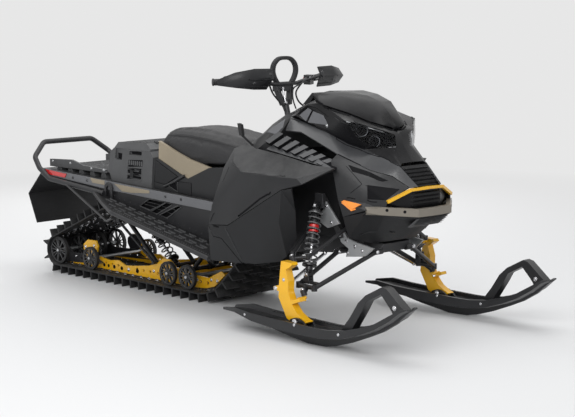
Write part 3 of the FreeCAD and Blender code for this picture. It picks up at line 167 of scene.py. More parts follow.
def dress(mesh, finishes):
    """Give a mesh these finishes and no others."""
    mesh.materials.clear()
    for name in finishes:
        mesh.materials.append(bpy.data.materials[name])


def modify(piece, name, kind, **values):
    """Add a modifier with its settings."""
    added = piece.modifiers.new(name, kind)
    for key, value in values.items():
        setattr(added, key, value)
    return added


class Stock:
    """Points and faces gathered for one piece, with a finish number for each face."""

    def __init__(self):
        self.points = []
        self.faces = []
        self.marks = []

    def add(self, points, faces, mark=0):
        start = len(self.points)
        self.points.extend(Vector(p) for p in points)
        self.faces.extend([start + i for i in face] for face in faces)
        self.marks.extend([mark] * len(faces))

    def rings(self, rings, mark=0, closed=False):
        """A skin over rings of points, either closed on itself or capped at both ends."""
        count = len(rings[0])
        last = (len(rings) - 1) * count
        faces = []
        for i in range(len(rings) if closed else len(rings) - 1):
            a = i * count
            b = (i + 1) % len(rings) * count
            for j in range(count):
                k = (j + 1) % count
                faces.append([a + j, a + k, b + k, b + j])
        if not closed:
            faces.append(list(range(count))[::-1])
            faces.append([last + j for j in range(count)])
        self.add([p for ring in rings for p in ring], faces, mark)

    def lathe(self, centre, axis, profile, count=24, mark=0):
        """A turned shape: profile gives distances along the axis with their radii."""
        axis = axis.normalized()
        u, v = across(axis)
        self.rings([circle(centre + axis * along, u, v, radius, count) for along, radius in profile], mark)

    def pipe(self, path, radius, count=8, mark=0, closed=False):
        """A round bar along a path."""
        rings = []
        last = len(path) - 1
        u = None
        for i, point in enumerate(path):
            after = path[(i + 1) % len(path)] if closed or i < last else point
            before = path[i - 1] if closed or i > 0 else point
            way = (after - before).normalized()
            u = across(way)[0] if u is None else u
            u = (u - way * u.dot(way)).normalized()
            rings.append(circle(point, u, way.cross(u), radius, count))
        self.rings(rings, mark, closed)

    def coil(self, low, high, radius, wire, turns, mark=0):
        """A helical spring between two points, with flattened end turns."""
        u, v = across(high - low)
        steps = turns * 16
        path = []
        for i in range(steps + 1):
            t = i / steps
            rise = max(0.0, min(1.0, (t * turns - 0.7) / (turns - 1.4)))
            a = 2 * math.pi * turns * t
            path.append(low.lerp(high, rise) + (u * math.cos(a) + v * math.sin(a)) * radius)
        self.pipe(path, wire / 2, 8, mark)

    def hoop(self, centre, axis, radius, wire, mark=0):
        """A round bar bent into a ring."""
        self.pipe(circle(centre, *across(axis), radius, 48), wire / 2, 6, mark, True)

    def prism(self, outline, push, mark=0):
        """A flat outline pushed along a direction."""
        count = len(outline)
        faces = [list(range(count))[::-1], [count + i for i in range(count)]]
        faces.extend([i, (i + 1) % count, count + (i + 1) % count, count + i] for i in range(count))
        self.add(outline + [p + push for p in outline], faces, mark)

    def slab(self, centre, u, v, w, mark=0):
        """A block from its centre and its three half sides."""
        outline = [centre - u - v - w, centre + u - v - w, centre + u + v - w, centre - u + v - w]
        self.prism(outline, w * 2, mark)

    def bolt(self, centre, normal, radius, mark=0):
        """A flanged hexagon head."""
        height = radius * 0.62
        flange = ((-0.002, radius * 1.45), (radius * 0.16, radius * 1.45), (radius * 0.24, radius * 1.3))
        head = ((radius * 0.2, radius * 1.05), (height, radius * 1.05), (height * 1.15, radius * 0.85))
        self.lathe(centre, normal, flange, 18, mark)
        self.lathe(centre, normal, head, 6, mark)

    def both_sides(self):
        """Adds the left side's copy of all that is here."""
        start = len(self.points)
        self.points.extend([Vector((p.x, -p.y, p.z)) for p in self.points])
        self.faces.extend([[start + i for i in face[::-1]] for face in self.faces])
        self.marks.extend(list(self.marks))
        return self

    def mesh(self, name):
        mesh = bpy.data.meshes.new(name)
        mesh.from_pydata([tuple(p) for p in self.points], [], self.faces)
        return mesh

    def piece(self, name, finishes, body, slot, bevel=0.0, angle=35):
        """Makes the object, with its finishes, on its body."""
        mesh = self.mesh(name)
        dress(mesh, finishes)
        mesh.polygons.foreach_set("material_index", self.marks)
        shell = bmesh.new()
        shell.from_mesh(mesh)
        bmesh.ops.recalc_face_normals(shell, faces=shell.faces)
        shell.to_mesh(mesh)
        shell.free()
        made = linked(name, mesh)
        if bevel:
            modify(made, "Rounding", "BEVEL", width=bevel, segments=2, limit_method="ANGLE",
                   angle_limit=math.radians(40))
        mesh.shade_smooth()
        mesh.set_sharp_from_angle(angle=math.radians(angle))
        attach(made, body)
        return made


# Search trees of the pieces' faces, each made when it is first asked for
SKINS = {}


def skin_of(mesh):
    points = [v.co.copy() for v in mesh.vertices]
    return BVHTree.FromPolygons(points, [list(p.vertices) for p in mesh.polygons])


def skin(node):
    if node not in SKINS:
        SKINS[node] = skin_of(NODES[node].data)
    return SKINS[node]


def surface(node, origin, way):
    """Where a line first meets a CAD piece, with the way out there."""
    place, normal = skin(node).ray_cast(origin, way.normalized())[:2]
    if place is None:
        raise RuntimeError("no face of " + node + " on that line")
    return place, -normal if normal.dot(way) > 0 else normal


def from_right(node, x, z):
    """The point of a piece's right side at a fore and aft place and a height."""
    return surface(node, at(x, 1.5, z), LEFT)[0]


def from_above(node, x, w):
    """The point of a piece's top at a place in plan, with the way out there."""
    return surface(node, at(x, w, 2.5), DOWN)


def snap(nodes, point):
    """The nearest place on some pieces' skins, with the way out there."""
    hits = [skin(node).find_nearest(point) for node in nodes]
    place, normal = min(hits, key=lambda hit: hit[3])[:2]
    return place, -normal if normal.dot(point - place) < 0 else normal


def laid(nodes, points, step=0.014):
    """A line through some points that lies on the pieces' skins, with the way out at each place."""
    lift = 0.012
    line = []
    ends = [snap(nodes, p)[1] for p in points]
    for a, b, na, nb in zip(points, points[1:], ends, ends[1:]):
        count = max(1, round((b - a).length / step))
        for k in range(count + (b is points[-1])):
            t = k / count
            line.append(snap(nodes, a.lerp(b, t) + na.lerp(nb, t).normalized() * lift))
    return line


def ribbon(stock, line, width, height, mark=0, sunk=0.001):
    """A low rounded band along a laid line."""
    rings = []
    for i, (place, normal) in enumerate(line):
        before = line[max(0, i - 1)][0]
        after = line[min(len(line) - 1, i + 1)][0]
        half = normal.cross(after - before).normalized() * (width / 2)
        rings.append([place - half - normal * sunk, place - half * 0.72 + normal * height,
                      place + half * 0.72 + normal * height, place + half - normal * sunk])
    stock.rings(rings, mark)


def outermost(node, point, out):
    """The first place met on a piece when coming in to a point from outside."""
    place = skin(node).ray_cast(point + out * 0.03, -out, 0.06)[0]
    return snap([node], point)[0] if place is None else place


def patch(stock, node, corners, height, steps=9):
    """A thin raised panel between four corners that lies on a piece's right side."""
    a, b, c, d = corners
    out = (b - a).cross(d - a).normalized()
    if out.y > 0:
        out = -out
    shares = [0.0, 0.025] + [k / steps for k in range(1, steps)] + [0.975, 1.0]
    count = len(shares)
    total = count * count
    top = []
    low = []
    for s in shares:
        for t in shares:
            place = outermost(node, a.lerp(b, s).lerp(d.lerp(c, s), t), out)
            rim = s in (0.0, 1.0) or t in (0.0, 1.0)
            top.append(place + out * (0.0 if rim else height))
            low.append(place - out * 0.0015)
    faces = []
    for i in range(count - 1):
        for j in range(count - 1):
            k = i * count + j
            faces.append([k, k + 1, k + count + 1, k + count])
            faces.append([total + n for n in (k + count, k + count + 1, k + 1, k)])
    for i in range(count - 1):
        for p, q in ((i, i + 1), (total - count + i + 1, total - count + i), ((i + 1) * count, i * count),
                     (i * count + count - 1, (i + 1) * count + count - 1)):
            faces.append([q, p, total + p, total + q])
    stock.add(top + low, faces)


def rounded(points, steps=8):
    """A smooth line through some points."""
    line = []
    for i in range(len(points) - 1):
        a, b = points[max(0, i - 1)], points[i]
        c, d = points[i + 1], points[min(len(points) - 1, i + 2)]
        for k in range(steps + (i == len(points) - 2)):
            t = k / steps
            line.append(0.5 * ((b * 2) + (c - a) * t + (a * 2 - b * 5 + c * 4 - d) * t * t
                               + (b * 3 - a - c * 3 + d) * t * t * t))
    return line


def make(fill, name, finishes, slot, body="frame", mirrored=True, **more):
    """One piece, from the function that fills its stock."""
    stock = Stock()
    fill(stock)
    if mirrored:
        stock.both_sides()
    return stock.piece(name, finishes, body, slot, **more)


def paint(node, names, chooser):
    """Give the faces of a CAD piece one of several finishes, by where each face lies."""
    mesh = NODES[node].data
    dress(mesh, names)
    for polygon in mesh.polygons:
        polygon.material_index = chooser(polygon.center, polygon.normal)


# Shader effects that the finishes share


def effect(name, inputs, outputs):
    """A shader group with number inputs, and its two ends."""
    tree = bpy.data.node_groups.new(name, "ShaderNodeTree")
    for label, value in inputs:
        socket = tree.interface.new_socket(label, in_out="INPUT", socket_type="NodeSocketFloat")
        socket.default_value = value
    for label, kind in outputs:
        tree.interface.new_socket(label, in_out="OUTPUT", socket_type=kind)
    return tree, tree.nodes.new("NodeGroupInput"), tree.nodes.new("NodeGroupOutput")


def put(tree, kind, links=None, **values):
    """A new node with its settings, its fixed inputs and its links."""
    node = tree.nodes.new(kind)
    for key, value in values.items():
        setattr(node, key, value)
    for key, value in (links or {}).items():
        if isinstance(value, bpy.types.NodeSocket):
            tree.links.new(value, node.inputs[key])
        else:
            node.inputs[key].default_value = value
    return node


def maths(tree, operation, first, *others):
    """Numbers joined by one operation, from left to right."""
    for other in others:
        first = put(tree, "ShaderNodeMath", {0: first, 1: other}, operation=operation).outputs[0]
    return first


def spread(tree, value, low, high, new_low=0.0, new_high=1.0):
    node = put(tree, "ShaderNodeMapRange", {"Value": value, "From Min": low, "From Max": high,
                                            "To Min": new_low, "To Max": new_high})
    return node.outputs["Result"]


def object_place(tree):
    return put(tree, "ShaderNodeTexCoord").outputs["Object"]


def noise(tree, place, scale, detail, rough=0.5):
    node = put(tree, "ShaderNodeTexNoise", {"Vector": place, "Scale": scale, "Detail": detail,
                                            "Roughness": rough})
    return node.outputs["Fac"]


def blend(tree, factor, first, second):
    """One colour laid over another."""
    return put(tree, "ShaderNodeMix", {"Factor": factor, 6: first, 7: second}, data_type="RGBA").outputs[2]


def shade(tint, share):
    return tuple(min(1.0, c * share) for c in tint) + (1.0,)


def edge_effect():
    """Rounds the shading of edges and marks where they are rubbed."""
    tree, start, end = effect("Rubbed edges", [("Width", 0.002), ("Wear", 0.4), ("Patches", 14.0)],
                              [("Normal", "NodeSocketVector"), ("Mask", "NodeSocketFloat")])
    bevel = put(tree, "ShaderNodeBevel", {"Radius": start.outputs["Width"]}, samples=4).outputs["Normal"]
    plain = put(tree, "ShaderNodeNewGeometry").outputs["Normal"]
    turn = put(tree, "ShaderNodeVectorMath", {0: bevel, 1: plain}, operation="DOT_PRODUCT").outputs["Value"]
    patches = noise(tree, object_place(tree), start.outputs["Patches"], 6.0, 0.7)
    mask = maths(tree, "MULTIPLY", spread(tree, turn, 0.995, 0.86), spread(tree, patches, 0.42, 0.62),
                 start.outputs["Wear"])
    tree.links.new(bevel, end.inputs["Normal"])
    tree.links.new(mask, end.inputs["Mask"])


def dust_effect():
    """Pale dust that settles on faces that look up."""
    tree, start, end = effect("Settled dust", [("Amount", 0.1), ("Scale", 22.0)],
                              [("Mask", "NodeSocketFloat")])
    normal = put(tree, "ShaderNodeNewGeometry").outputs["Normal"]
    up = put(tree, "ShaderNodeSeparateXYZ", {0: normal}).outputs["Z"]
    cloud = noise(tree, object_place(tree), start.outputs["Scale"], 7.0, 0.68)
    mask = maths(tree, "MULTIPLY", spread(tree, up, 0.15, 0.95), spread(tree, cloud, 0.38, 0.7),
                 start.outputs["Amount"])
    tree.links.new(mask, end.inputs["Mask"])


def texture_effect(name, scale, drift, detail=5.0, rough=0.5):
    """A group for a fine texture with a slow drift of tone, whose height is still to be joined."""
    tree, start, end = effect(name, [("Scale", scale), ("Drift", drift)],
                              [("Height", "NodeSocketFloat"), ("Tone", "NodeSocketFloat")])
    place = object_place(tree)
    tree.links.new(noise(tree, place, start.outputs["Drift"], detail, rough), end.inputs["Tone"])
    return tree, place, start.outputs["Scale"], end.inputs["Height"]


def grain_effect():
    """The fine texture of moulded plastic."""
    tree, place, scale, height = texture_effect("Moulded grain", 600.0, 6.0, rough=0.62)
    cells = put(tree, "ShaderNodeTexVoronoi", {"Vector": place, "Scale": scale}, feature="SMOOTH_F1")
    tree.links.new(maths(tree, "ADD", cells.outputs["Distance"], noise(tree, place, scale, 3.0)), height)


def leather_effect():
    """The pebbled grain of seat vinyl."""
    tree, place, scale, height = texture_effect("Vinyl grain", 420.0, 9.0)
    bend = put(tree, "ShaderNodeTexNoise", {"Vector": place, "Scale": 60.0, "Detail": 3.0}).outputs["Color"]
    cells = put(tree, "ShaderNodeTexVoronoi", {"Vector": blend(tree, 0.012, place, bend), "Scale": scale},
                feature="DISTANCE_TO_EDGE")
    tree.links.new(spread(tree, cells.outputs["Distance"], 0.0, 0.22), height)


def streak_effect():
    """Fine lines along the length, as brushed or drawn metal has."""
    tree, place, scale, height = texture_effect("Drawn streaks", 90.0, 12.0, detail=4.0)
    drawn = put(tree, "ShaderNodeMapping", {"Vector": place, "Scale": (0.5, 8.0, 8.0)}).outputs["Vector"]
    tree.links.new(noise(tree, drawn, scale, 4.0), height)


def weave_effect():
    """Crossing threads of a woven tape."""
    tree, place, scale, height = texture_effect("Woven tape", 260.0, 10.0)
    warp, weft = [put(tree, "ShaderNodeTexWave", {"Vector": place, "Scale": scale, "Distortion": 0.4},
                      bands_direction=way).outputs["Fac"] for way in "YZ"]
    tree.links.new(maths(tree, "MULTIPLY", warp, weft), height)


def groove_effect():
    """Level ribs, as pressed into a lens or a flap."""
    tree, place, scale, height = texture_effect("Level ribs", 28.0, 7.0)
    ribs = put(tree, "ShaderNodeTexWave", {"Vector": place, "Scale": scale}, bands_direction="Z")
    tree.links.new(spread(tree, ribs.outputs["Fac"], 0.1, 0.5), height)


def use(tree, name, **values):
    """A shared effect placed in a material with its own values."""
    node = tree.nodes.new("ShaderNodeGroup")
    node.node_tree = bpy.data.node_groups[name]
    for key, value in values.items():
        node.inputs[key].default_value = value
    return node


def blank(name):
    """A new material, its node tree and the socket for its surface."""
    made = bpy.data.materials.new(name)
    made.use_nodes = True
    tree = made.node_tree
    tree.nodes.clear()
    return made, tree, tree.nodes.new("ShaderNodeOutputMaterial").inputs["Surface"]


def finish(name, tint, rough, metal=0.0, coat=0.0, texture="Moulded grain", scale=600.0, depth=0.25,
           mottle=0.18, wear=0.35, worn=None, dust=0.06, shine=0.4):
    """One material: its tint drifts, its edges are rubbed, and its grain stands in the light."""
    made, tree, face = blank(name)
    grain = use(tree, texture, Scale=scale, Drift=6.0)
    edges = use(tree, "Rubbed edges", Width=bpy.context.scene.sled_sizes.wear_width, Wear=wear, Patches=16.0)
    powder = use(tree, "Settled dust", Amount=dust, Scale=22.0).outputs["Mask"]
    tone = spread(tree, grain.outputs["Tone"], 0.3, 0.7)
    body = blend(tree, tone, shade(tint, 1 - mottle), shade(tint, 1 + mottle))
    rubbed = blend(tree, edges.outputs["Mask"], body, worn or shade([c + 0.05 for c in tint], 1.6))
    polish = spread(tree, grain.outputs["Tone"], 0.3, 0.7, rough - 0.05, rough + 0.06)
    bump = put(tree, "ShaderNodeBump", {"Strength": depth, "Distance": 0.0006,
                                        "Height": grain.outputs["Height"], "Normal": edges.outputs["Normal"]})
    shader = put(tree, "ShaderNodeBsdfPrincipled", {
        "Base Color": blend(tree, powder, rubbed, (0.42, 0.41, 0.39, 1.0)), "Metallic": metal,
        "Roughness": maths(tree, "ADD", polish, maths(tree, "MULTIPLY", powder, 0.5)),
        "Normal": bump.outputs["Normal"], "Coat Weight": coat, "Coat Roughness": 0.08,
        "Specular IOR Level": shine})
    tree.links.new(shader.outputs[0], face)
    return made


def paint_light(made, tint, strength):
    """Paint light into a finish as emission, light that the part does not give of its own."""
    inputs = made.node_tree.nodes["Principled BSDF"].inputs
    inputs["Emission Color"].default_value = tint
    inputs["Emission Strength"].default_value = strength


def lens_finish(name, tint, strength):
    """A ribbed coloured lamp lens, with a faint painted light as emission."""
    made = finish(name, tint, 0.16, coat=1.0, texture="Level ribs", scale=36.0, depth=0.35, wear=0.05,
                  dust=0.02)
    paint_light(made, shade(tint, 1.0), strength)


def clear_finish(name, tint):
    """Clear moulded plastic that lets shadow rays by, with a faint haze of fine marks."""
    tree, face = blank(name)[1:]
    grain = use(tree, "Moulded grain", Scale=60.0, Drift=14.0).outputs
    bump = put(tree, "ShaderNodeBump", {"Strength": 0.01, "Distance": 0.0002, "Height": grain["Height"]})
    shader = put(tree, "ShaderNodeBsdfPrincipled", {
        "Base Color": blend(tree, grain["Tone"], shade(tint, 0.96), shade(tint, 1.0)), "IOR": 1.2,
        "Roughness": spread(tree, grain["Tone"], 0.35, 0.75, 0.0, 0.03), "Normal": bump.outputs["Normal"],
        "Transmission Weight": 1.0})
    by = put(tree, "ShaderNodeBsdfTransparent", {"Color": shade(tint, 1.0)})
    shadow = put(tree, "ShaderNodeLightPath").outputs["Is Shadow Ray"]
    mixed = put(tree, "ShaderNodeMixShader", {0: shadow, 1: shader.outputs[0], 2: by.outputs[0]})
    tree.links.new(mixed.outputs[0], face)


# Which finish each CAD piece wears
NODE_FINISH = {
    "satin panel": ["side_panels", "nose_panels", "handguards", "seat_base"],
    "gloss hood": ["hood"],
    "grained panel": ["lower_panels", "belly_pan", "footwells", "tank_cover", "gill_vents"],
    "box plastic": ["storage_box", "storage_lid", "rear_deck"],
    "gloss shield": ["windshield", "grille"],
    "dash plastic": ["gauge"],
    "light band": ["tunnel_strips"],
    "hood band": ["hood_stripes"],
    "beige plastic": ["seat_trim"],
    "sand plastic": ["front_bumper"],
    "yellow plastic": ["nose_trim"],
    "yellow paint": ["spindle_R", "spindle_L", "slide_rails"],
    "powder coat": ["tunnel", "running_boards", "rear_bumper", "front_frame", "steering_post"],
    "arm steel": ["front_arms", "skid_arms"],
    "cast alloy": ["front_brackets"],
    "engine alloy": ["engine_block"],
    "bright steel": ["tie_rod_R", "tie_rod_L"],
    "track rubber": ["track"],
    "flap rubber": ["snow_flap"],
    "wheel plastic": ["wheels_axles"],
    "ski plastic": ["ski_R", "ski_L"],
    "seat vinyl": ["seat"],
    "grip rubber": ["handlebar", "pull_handle"],
    "strap webbing": ["grab_strap"],
    "red lens": ["tail_lamps"],
    "orange lens": ["reflectors"],
    "clear lens": ["headlamps"],
    "shock steel": ["front_shocks", "skid_shocks"],
}


def make_finishes(tints):
    """Every finish, from the colours of the settings."""
    pale = (0.20, 0.20, 0.205, 1.0)
    bare = (0.55, 0.55, 0.56, 1.0)
    finish("satin panel", tints.charcoal, 0.42, coat=0.05, scale=900, depth=0.05, wear=0.25, worn=pale,
           shine=0.3)
    finish("gloss hood", tints.gloss, 0.24, coat=0.1, scale=900, depth=0.02, wear=0.15, worn=pale,
           dust=0.02, shine=0.2)
    finish("dash plastic", tints.dark, 0.5, scale=500, depth=0.2, wear=0.2, worn=pale, dust=0.02,
           shine=0.25)
    finish("hood band", tints.band, 0.34, coat=0.2, scale=900, depth=0.04, wear=0.2, worn=pale, dust=0.03)
    finish("sand plastic", tints.sand, 0.38, coat=0.2, scale=500, depth=0.15, mottle=0.08, wear=0.3)
    finish("grained panel", tints.dark, 0.52, scale=420, depth=0.35, wear=0.3, worn=pale, dust=0.04,
           shine=0.3)
    finish("box plastic", tints.crate, 0.5, scale=380, depth=0.4, wear=0.45, worn=pale, dust=0.1)
    finish("gloss shield", tints.gloss, 0.30, scale=200, depth=0.02, wear=0.1, worn=pale,
           dust=0.02, shine=0.22)
    finish("light band", tints.stripe, 0.4, coat=0.2, scale=800, depth=0.05, mottle=0.08, wear=0.3,
           worn=bare)
    finish("beige plastic", tints.beige, 0.42, scale=500, depth=0.2, mottle=0.07, wear=0.3)
    finish("yellow plastic", tints.yellow, 0.28, coat=0.5, scale=500, depth=0.06, mottle=0.06, wear=0.15)
    finish("yellow paint", tints.yellow, 0.32, coat=0.4, scale=260, depth=0.12, mottle=0.08, wear=0.55,
           worn=(0.22, 0.2, 0.17, 1.0), dust=0.04)
    finish("powder coat", tints.coat, 0.42, scale=520, depth=0.3, wear=0.5, worn=bare, dust=0.08)
    finish("arm steel", tints.coat, 0.34, metal=0.3, scale=420, depth=0.2, wear=0.5, worn=bare)
    finish("cast alloy", tints.cast, 0.42, metal=0.75, scale=300, depth=0.45, mottle=0.12, wear=0.4,
           worn=bare)
    finish("engine alloy", tints.coat, 0.6, metal=0.3, scale=260, depth=0.5, wear=0.2, dust=0.1)
    finish("bright steel", tints.steel, 0.2, metal=1.0, texture="Drawn streaks", scale=60, depth=0.12,
           mottle=0.1, wear=0.2)
    finish("shock steel", tints.coat, 0.26, metal=0.5, scale=420, depth=0.1, wear=0.4, worn=bare)
    finish("track rubber", tints.rubber, 0.62, scale=340, depth=0.6, wear=0.55, worn=(0.07, 0.07, 0.07, 1),
           dust=0.16)
    finish("flap rubber", tints.rubber, 0.5, texture="Level ribs", scale=16, depth=0.5, wear=0.3, worn=pale)
    finish("wheel plastic", tints.rubber, 0.42, scale=420, depth=0.25, wear=0.5, worn=pale, dust=0.1)
    finish("ski plastic", tints.ski, 0.36, coat=0.1, scale=420, depth=0.14, wear=0.5, worn=pale, dust=0.05)
    finish("seat vinyl", tints.vinyl, 0.48, texture="Vinyl grain", scale=420, depth=0.5, mottle=0.2,
           wear=0.15)
    finish("grip rubber", tints.rubber, 0.55, texture="Woven tape", scale=170, depth=0.5, wear=0.3,
           worn=pale)
    finish("strap webbing", tints.coat, 0.72, texture="Woven tape", scale=230, depth=0.9, wear=0.2,
           worn=pale)
    finish("dull red", tints.red, 0.35, coat=0.4, scale=420, depth=0.1, wear=0.3)
    # Rim highlight: a lighter grey painted on rims, spokes, frames, slats and ledges as a painted highlight,
    # with rubbed wear on top of it.
    finish("rim highlight", tints.crate, 0.36, scale=420, depth=0.2, wear=0.7, worn=pale, dust=0.12)
    finish("hood insert", tints.stripe, 0.5, scale=700, depth=0.3, mottle=0.1, wear=0.2, worn=pale,
           dust=0.02, shine=0.25)
    finish("nose black", tints.gloss, 0.5, scale=700, depth=0.05, wear=0.1, dust=0.0, shine=0.08)
    finish("deck shadow", tints.gloss, 0.8, scale=300, depth=0.3, wear=0.0, dust=0.0, shine=0.1)
    finish("dull steel", tints.cast, 0.36, metal=0.9, scale=300, depth=0.15, wear=0.3)
    finish("spring enamel", tints.crate, 0.2, coat=0.6, scale=300, depth=0.05, wear=0.3, worn=bare)
    finish("bush rubber", tints.rubber, 0.6, scale=300, depth=0.3, wear=0.2)
    finish("runner plastic", tints.rubber, 0.4, texture="Drawn streaks", scale=60, depth=0.3, wear=0.4,
           worn=pale)
    finish("tyre rubber", tints.rubber, 0.55, scale=300, depth=0.4, wear=0.6, worn=pale, dust=0.12)
    finish("control plastic", tints.dark, 0.4, scale=500, depth=0.3, wear=0.3, worn=pale)
    finish("joint black", tints.gloss, 0.7, scale=500, depth=0.1, wear=0.0, dust=0.0, shine=0.1)
    finish("worn board", tints.gloss, 0.6, scale=360, depth=0.4, wear=0.4, worn=pale, dust=0.02, shine=0.2)
    finish("board teeth", tints.crate, 0.45, metal=0.3, scale=300, depth=0.1, wear=0.2)
    finish("dark thread", tints.coat, 0.7, texture="Woven tape", scale=900, depth=0.4, wear=0.0)
    finish("dial white", (0.7, 0.7, 0.68), 0.5, scale=500, depth=0.05, wear=0.0)
    # The bowls' silver gives a faint painted light as emission, a painted reflection in the reflectors.
    silver = finish("bowl silver with painted light", tints.cast, 0.3, metal=0.2, scale=300, depth=0.1, wear=0.0, dust=0.0)
    paint_light(silver, (0.78, 0.80, 0.82, 1.0), 0.22)
    # Both lenses give a faint painted light as emission.
    lens_finish("red lens", tints.red, 0.06)
    lens_finish("orange lens", tints.orange, 0.05)
    clear_finish("clear lens", (0.55, 0.56, 0.58))


class SLED_OT_finishes(bpy.types.Operator):
    """Make every finish and give each CAD piece its own"""

    bl_idname = "sled.finishes"
    bl_label = "Finishes"

    def execute(self, context):
        for shared in (edge_effect, dust_effect, grain_effect, leather_effect, streak_effect, weave_effect,
                       groove_effect):
            shared()
        make_finishes(context.scene.sled_colours)
        for name, nodes in NODE_FINISH.items():
            for node in nodes:
                dress(NODES[node].data, [name])
        return {"FINISHED"}


# Pieces that are faceted in the frame, whose shallow creases are shaded as curves
CURVED = ("hood", "side_panels", "lower_panels", "nose_panels", "belly_pan", "windshield", "tank_cover",
          "footwells", "handguards", "hood_stripes", "headlamps", "rear_bumper", "front_arms", "handlebar",
          "front_bumper", "storage_lid", "storage_box", "snow_flap", "running_boards", "wheels_axles",
          "skid_arms", "tie_rod_R", "tie_rod_L", "steering_post", "grab_strap", "ski_R", "ski_L",
          "pull_handle")

# Those of them that are blown or bent in one sweep
ROUNDER = ("windshield", "headlamps", "rear_bumper", "handguards", "hood")


class SLED_OT_curves(bpy.types.Operator):
    """Shade the shallow creases of the moulded pieces as curves"""

    bl_idname = "sled.curves"
    bl_label = "Moulded curves"

    def execute(self, context):
        crease = context.scene.sled_sizes.crease
        for node in CURVED:
            piece = NODES[node]
            for polygon in piece.data.polygons:
                polygon.use_smooth = True
            limit = math.radians(62) if node in ROUNDER else crease
            modify(piece, "Weld", "WELD", merge_threshold=0.0001)
            modify(piece, "Creases", "EDGE_SPLIT", split_angle=limit)
        return {"FINISHED"}


class SLED_OT_paint(bpy.types.Operator):
    """Give the parts of one piece their own finishes"""

    bl_idname = "sled.paint"
    bl_label = "Two-tone pieces"

    def execute(self, context):
        paint("slide_rails", ["yellow paint", "runner plastic", "powder coat"], rail_mark)
        paint("wheels_axles", ["wheel plastic", "tyre rubber", "dull steel", "rim highlight"], wheel_mark)
        paint("handlebar", ["powder coat", "grip rubber", "control plastic"], bar_mark)
        paint("grille", ["gloss shield", "box plastic"], lambda c, n: int(c.z < 0.62))
        paint("gill_vents", ["joint black", "hood band"], lambda c, n: int(n.z > 0.45 and abs(n.y) > 0.35))
        paint("storage_lid", ["box plastic", "grained panel"], lambda c, n: int(n.z > 0.9))
        paint("running_boards", ["powder coat", "worn board"], lambda c, n: int(n.z > 0.8))
        return {"FINISHED"}


# The skid's sizes: heights of the rail's foot and the belt's flat run, then the wheels and the rails
RAIL_FOOT = 0.0605
FLAT_Z = 0.054
IDLERS = (-2.120, -1.392, -1.224)
IDLER_R = 0.0705
IDLER_W = 0.224
REAR_WHEEL = (-2.436, 0.085)
TOP_WHEEL = (-1.760, 0.452)
RAIL_W = 0.160
TREAD = 0.012


def wheel_centres():
    """Fore and aft place, height, radius and distances out of every idler wheel."""
    found = [(x, FLAT_Z + IDLER_R, IDLER_R, (IDLER_W,)) for x in IDLERS]
    found.append((REAR_WHEEL[0], FLAT_Z + REAR_WHEEL[1], REAR_WHEEL[1], (IDLER_W, 0.07)))
    found.append((*TOP_WHEEL, IDLER_R, (0.11,)))
    return found


def rail_mark(centre, normal):
    if centre.z < RAIL_FOOT:
        return 1
    return 2 if centre.x - BOLT_X < -2.10 and abs(centre.y) < RAIL_W + 0.0055 else 0


def wheel_mark(centre, normal):
    for x, z, radius, places in wheel_centres():
        reach = math.hypot(centre.x - BOLT_X - x, centre.z - z)
        if radius - TREAD < reach < radius + 0.002:
            return 1
        if 0.0125 <= reach <= radius - TREAD:
            # Faces of the disc that look sideways take the rim highlight: a painted highlight on the wheel's
            # side.
            return 3 if abs(normal.y) > 0.7 else 0
    return 2


def bar_mark(centre, normal):
    w = abs(centre.y)
    if w < 0.165:
        return 0
    return 1 if centre.x - BOLT_X < -0.70 and w > 0.24 else 2


# Stations along the seat: fore and aft, top, lower edge, half width of the flat top and of the side
SEAT_STATIONS = ((-1.496, 0.888, 0.862, 0.120, 0.168), (-1.484, 0.918, 0.858, 0.132, 0.182),
                 (-1.464, 0.941, 0.846, 0.140, 0.194), (-1.430, 0.950, 0.828, 0.144, 0.200),
                 (-1.350, 0.957, 0.795, 0.148, 0.2035), (-1.260, 0.959, 0.750, 0.150, 0.2035),
                 (-1.180, 0.957, 0.735, 0.150, 0.2035), (-1.070, 0.949, 0.770, 0.148, 0.2035),
                 (-0.960, 0.933, 0.775, 0.142, 0.2035), (-0.870, 0.920, 0.786, 0.130, 0.198),
                 (-0.800, 0.912, 0.790, 0.118, 0.188))


def seat_section(x, top, low, flat, side):
    """The seat's outline across, from the crown of its top to its lower edge."""
    waist = (top - low) * 0.45
    drop = min(0.034, waist)
    half = [(0, top - 0.004), (flat * 0.5, top - 0.001), (flat * 0.88, top),
            (flat + 0.012, top - drop * 0.25), (side - 0.014, top - drop), (side, low + waist),
            (side, low + 0.012), (side - 0.012, low), (0, low)]
    return [at(x, w, z) for w, z in half] + [at(x, -w, z) for w, z in half[-2:0:-1]]


# The seams' lines: round the top, across the rear and along the lower edge
SEAT_SEAMS = (
    ((-1482, 152, 906), (-1440, 178, 922), (-1380, 188, 925), (-1300, 190, 924), (-1180, 190, 918),
     (-1060, 188, 908), (-940, 182, 896), (-812, 165, 884)),
    ((-1482, 152, 906), (-1490, 90, 908), (-1492, 0, 908)),
    ((-1478, 180, 868), (-1400, 204, 850), (-1320, 205, 828), (-1200, 205, 800), (-1100, 205, 808)),
)


def fill_seams(seams):
    """Welts along the seat's seams with a row of stitches at each side."""
    for points in SEAT_SEAMS:
        line = laid(["seat_cushion"], line_of(*points), 0.010)
        ribbon(seams, line, 0.0052, 0.0009)
        for k, (place, normal) in enumerate(line[1:-1]):
            way = (line[k + 2][0] - line[k][0]).normalized()
            side = normal.cross(way).normalized()
            for s in (-0.0052, 0.0052):
                middle = place + side * s + normal * 0.0004
                seams.slab(middle, way * 0.0029, side * 0.0007, normal * 0.0007, 1)


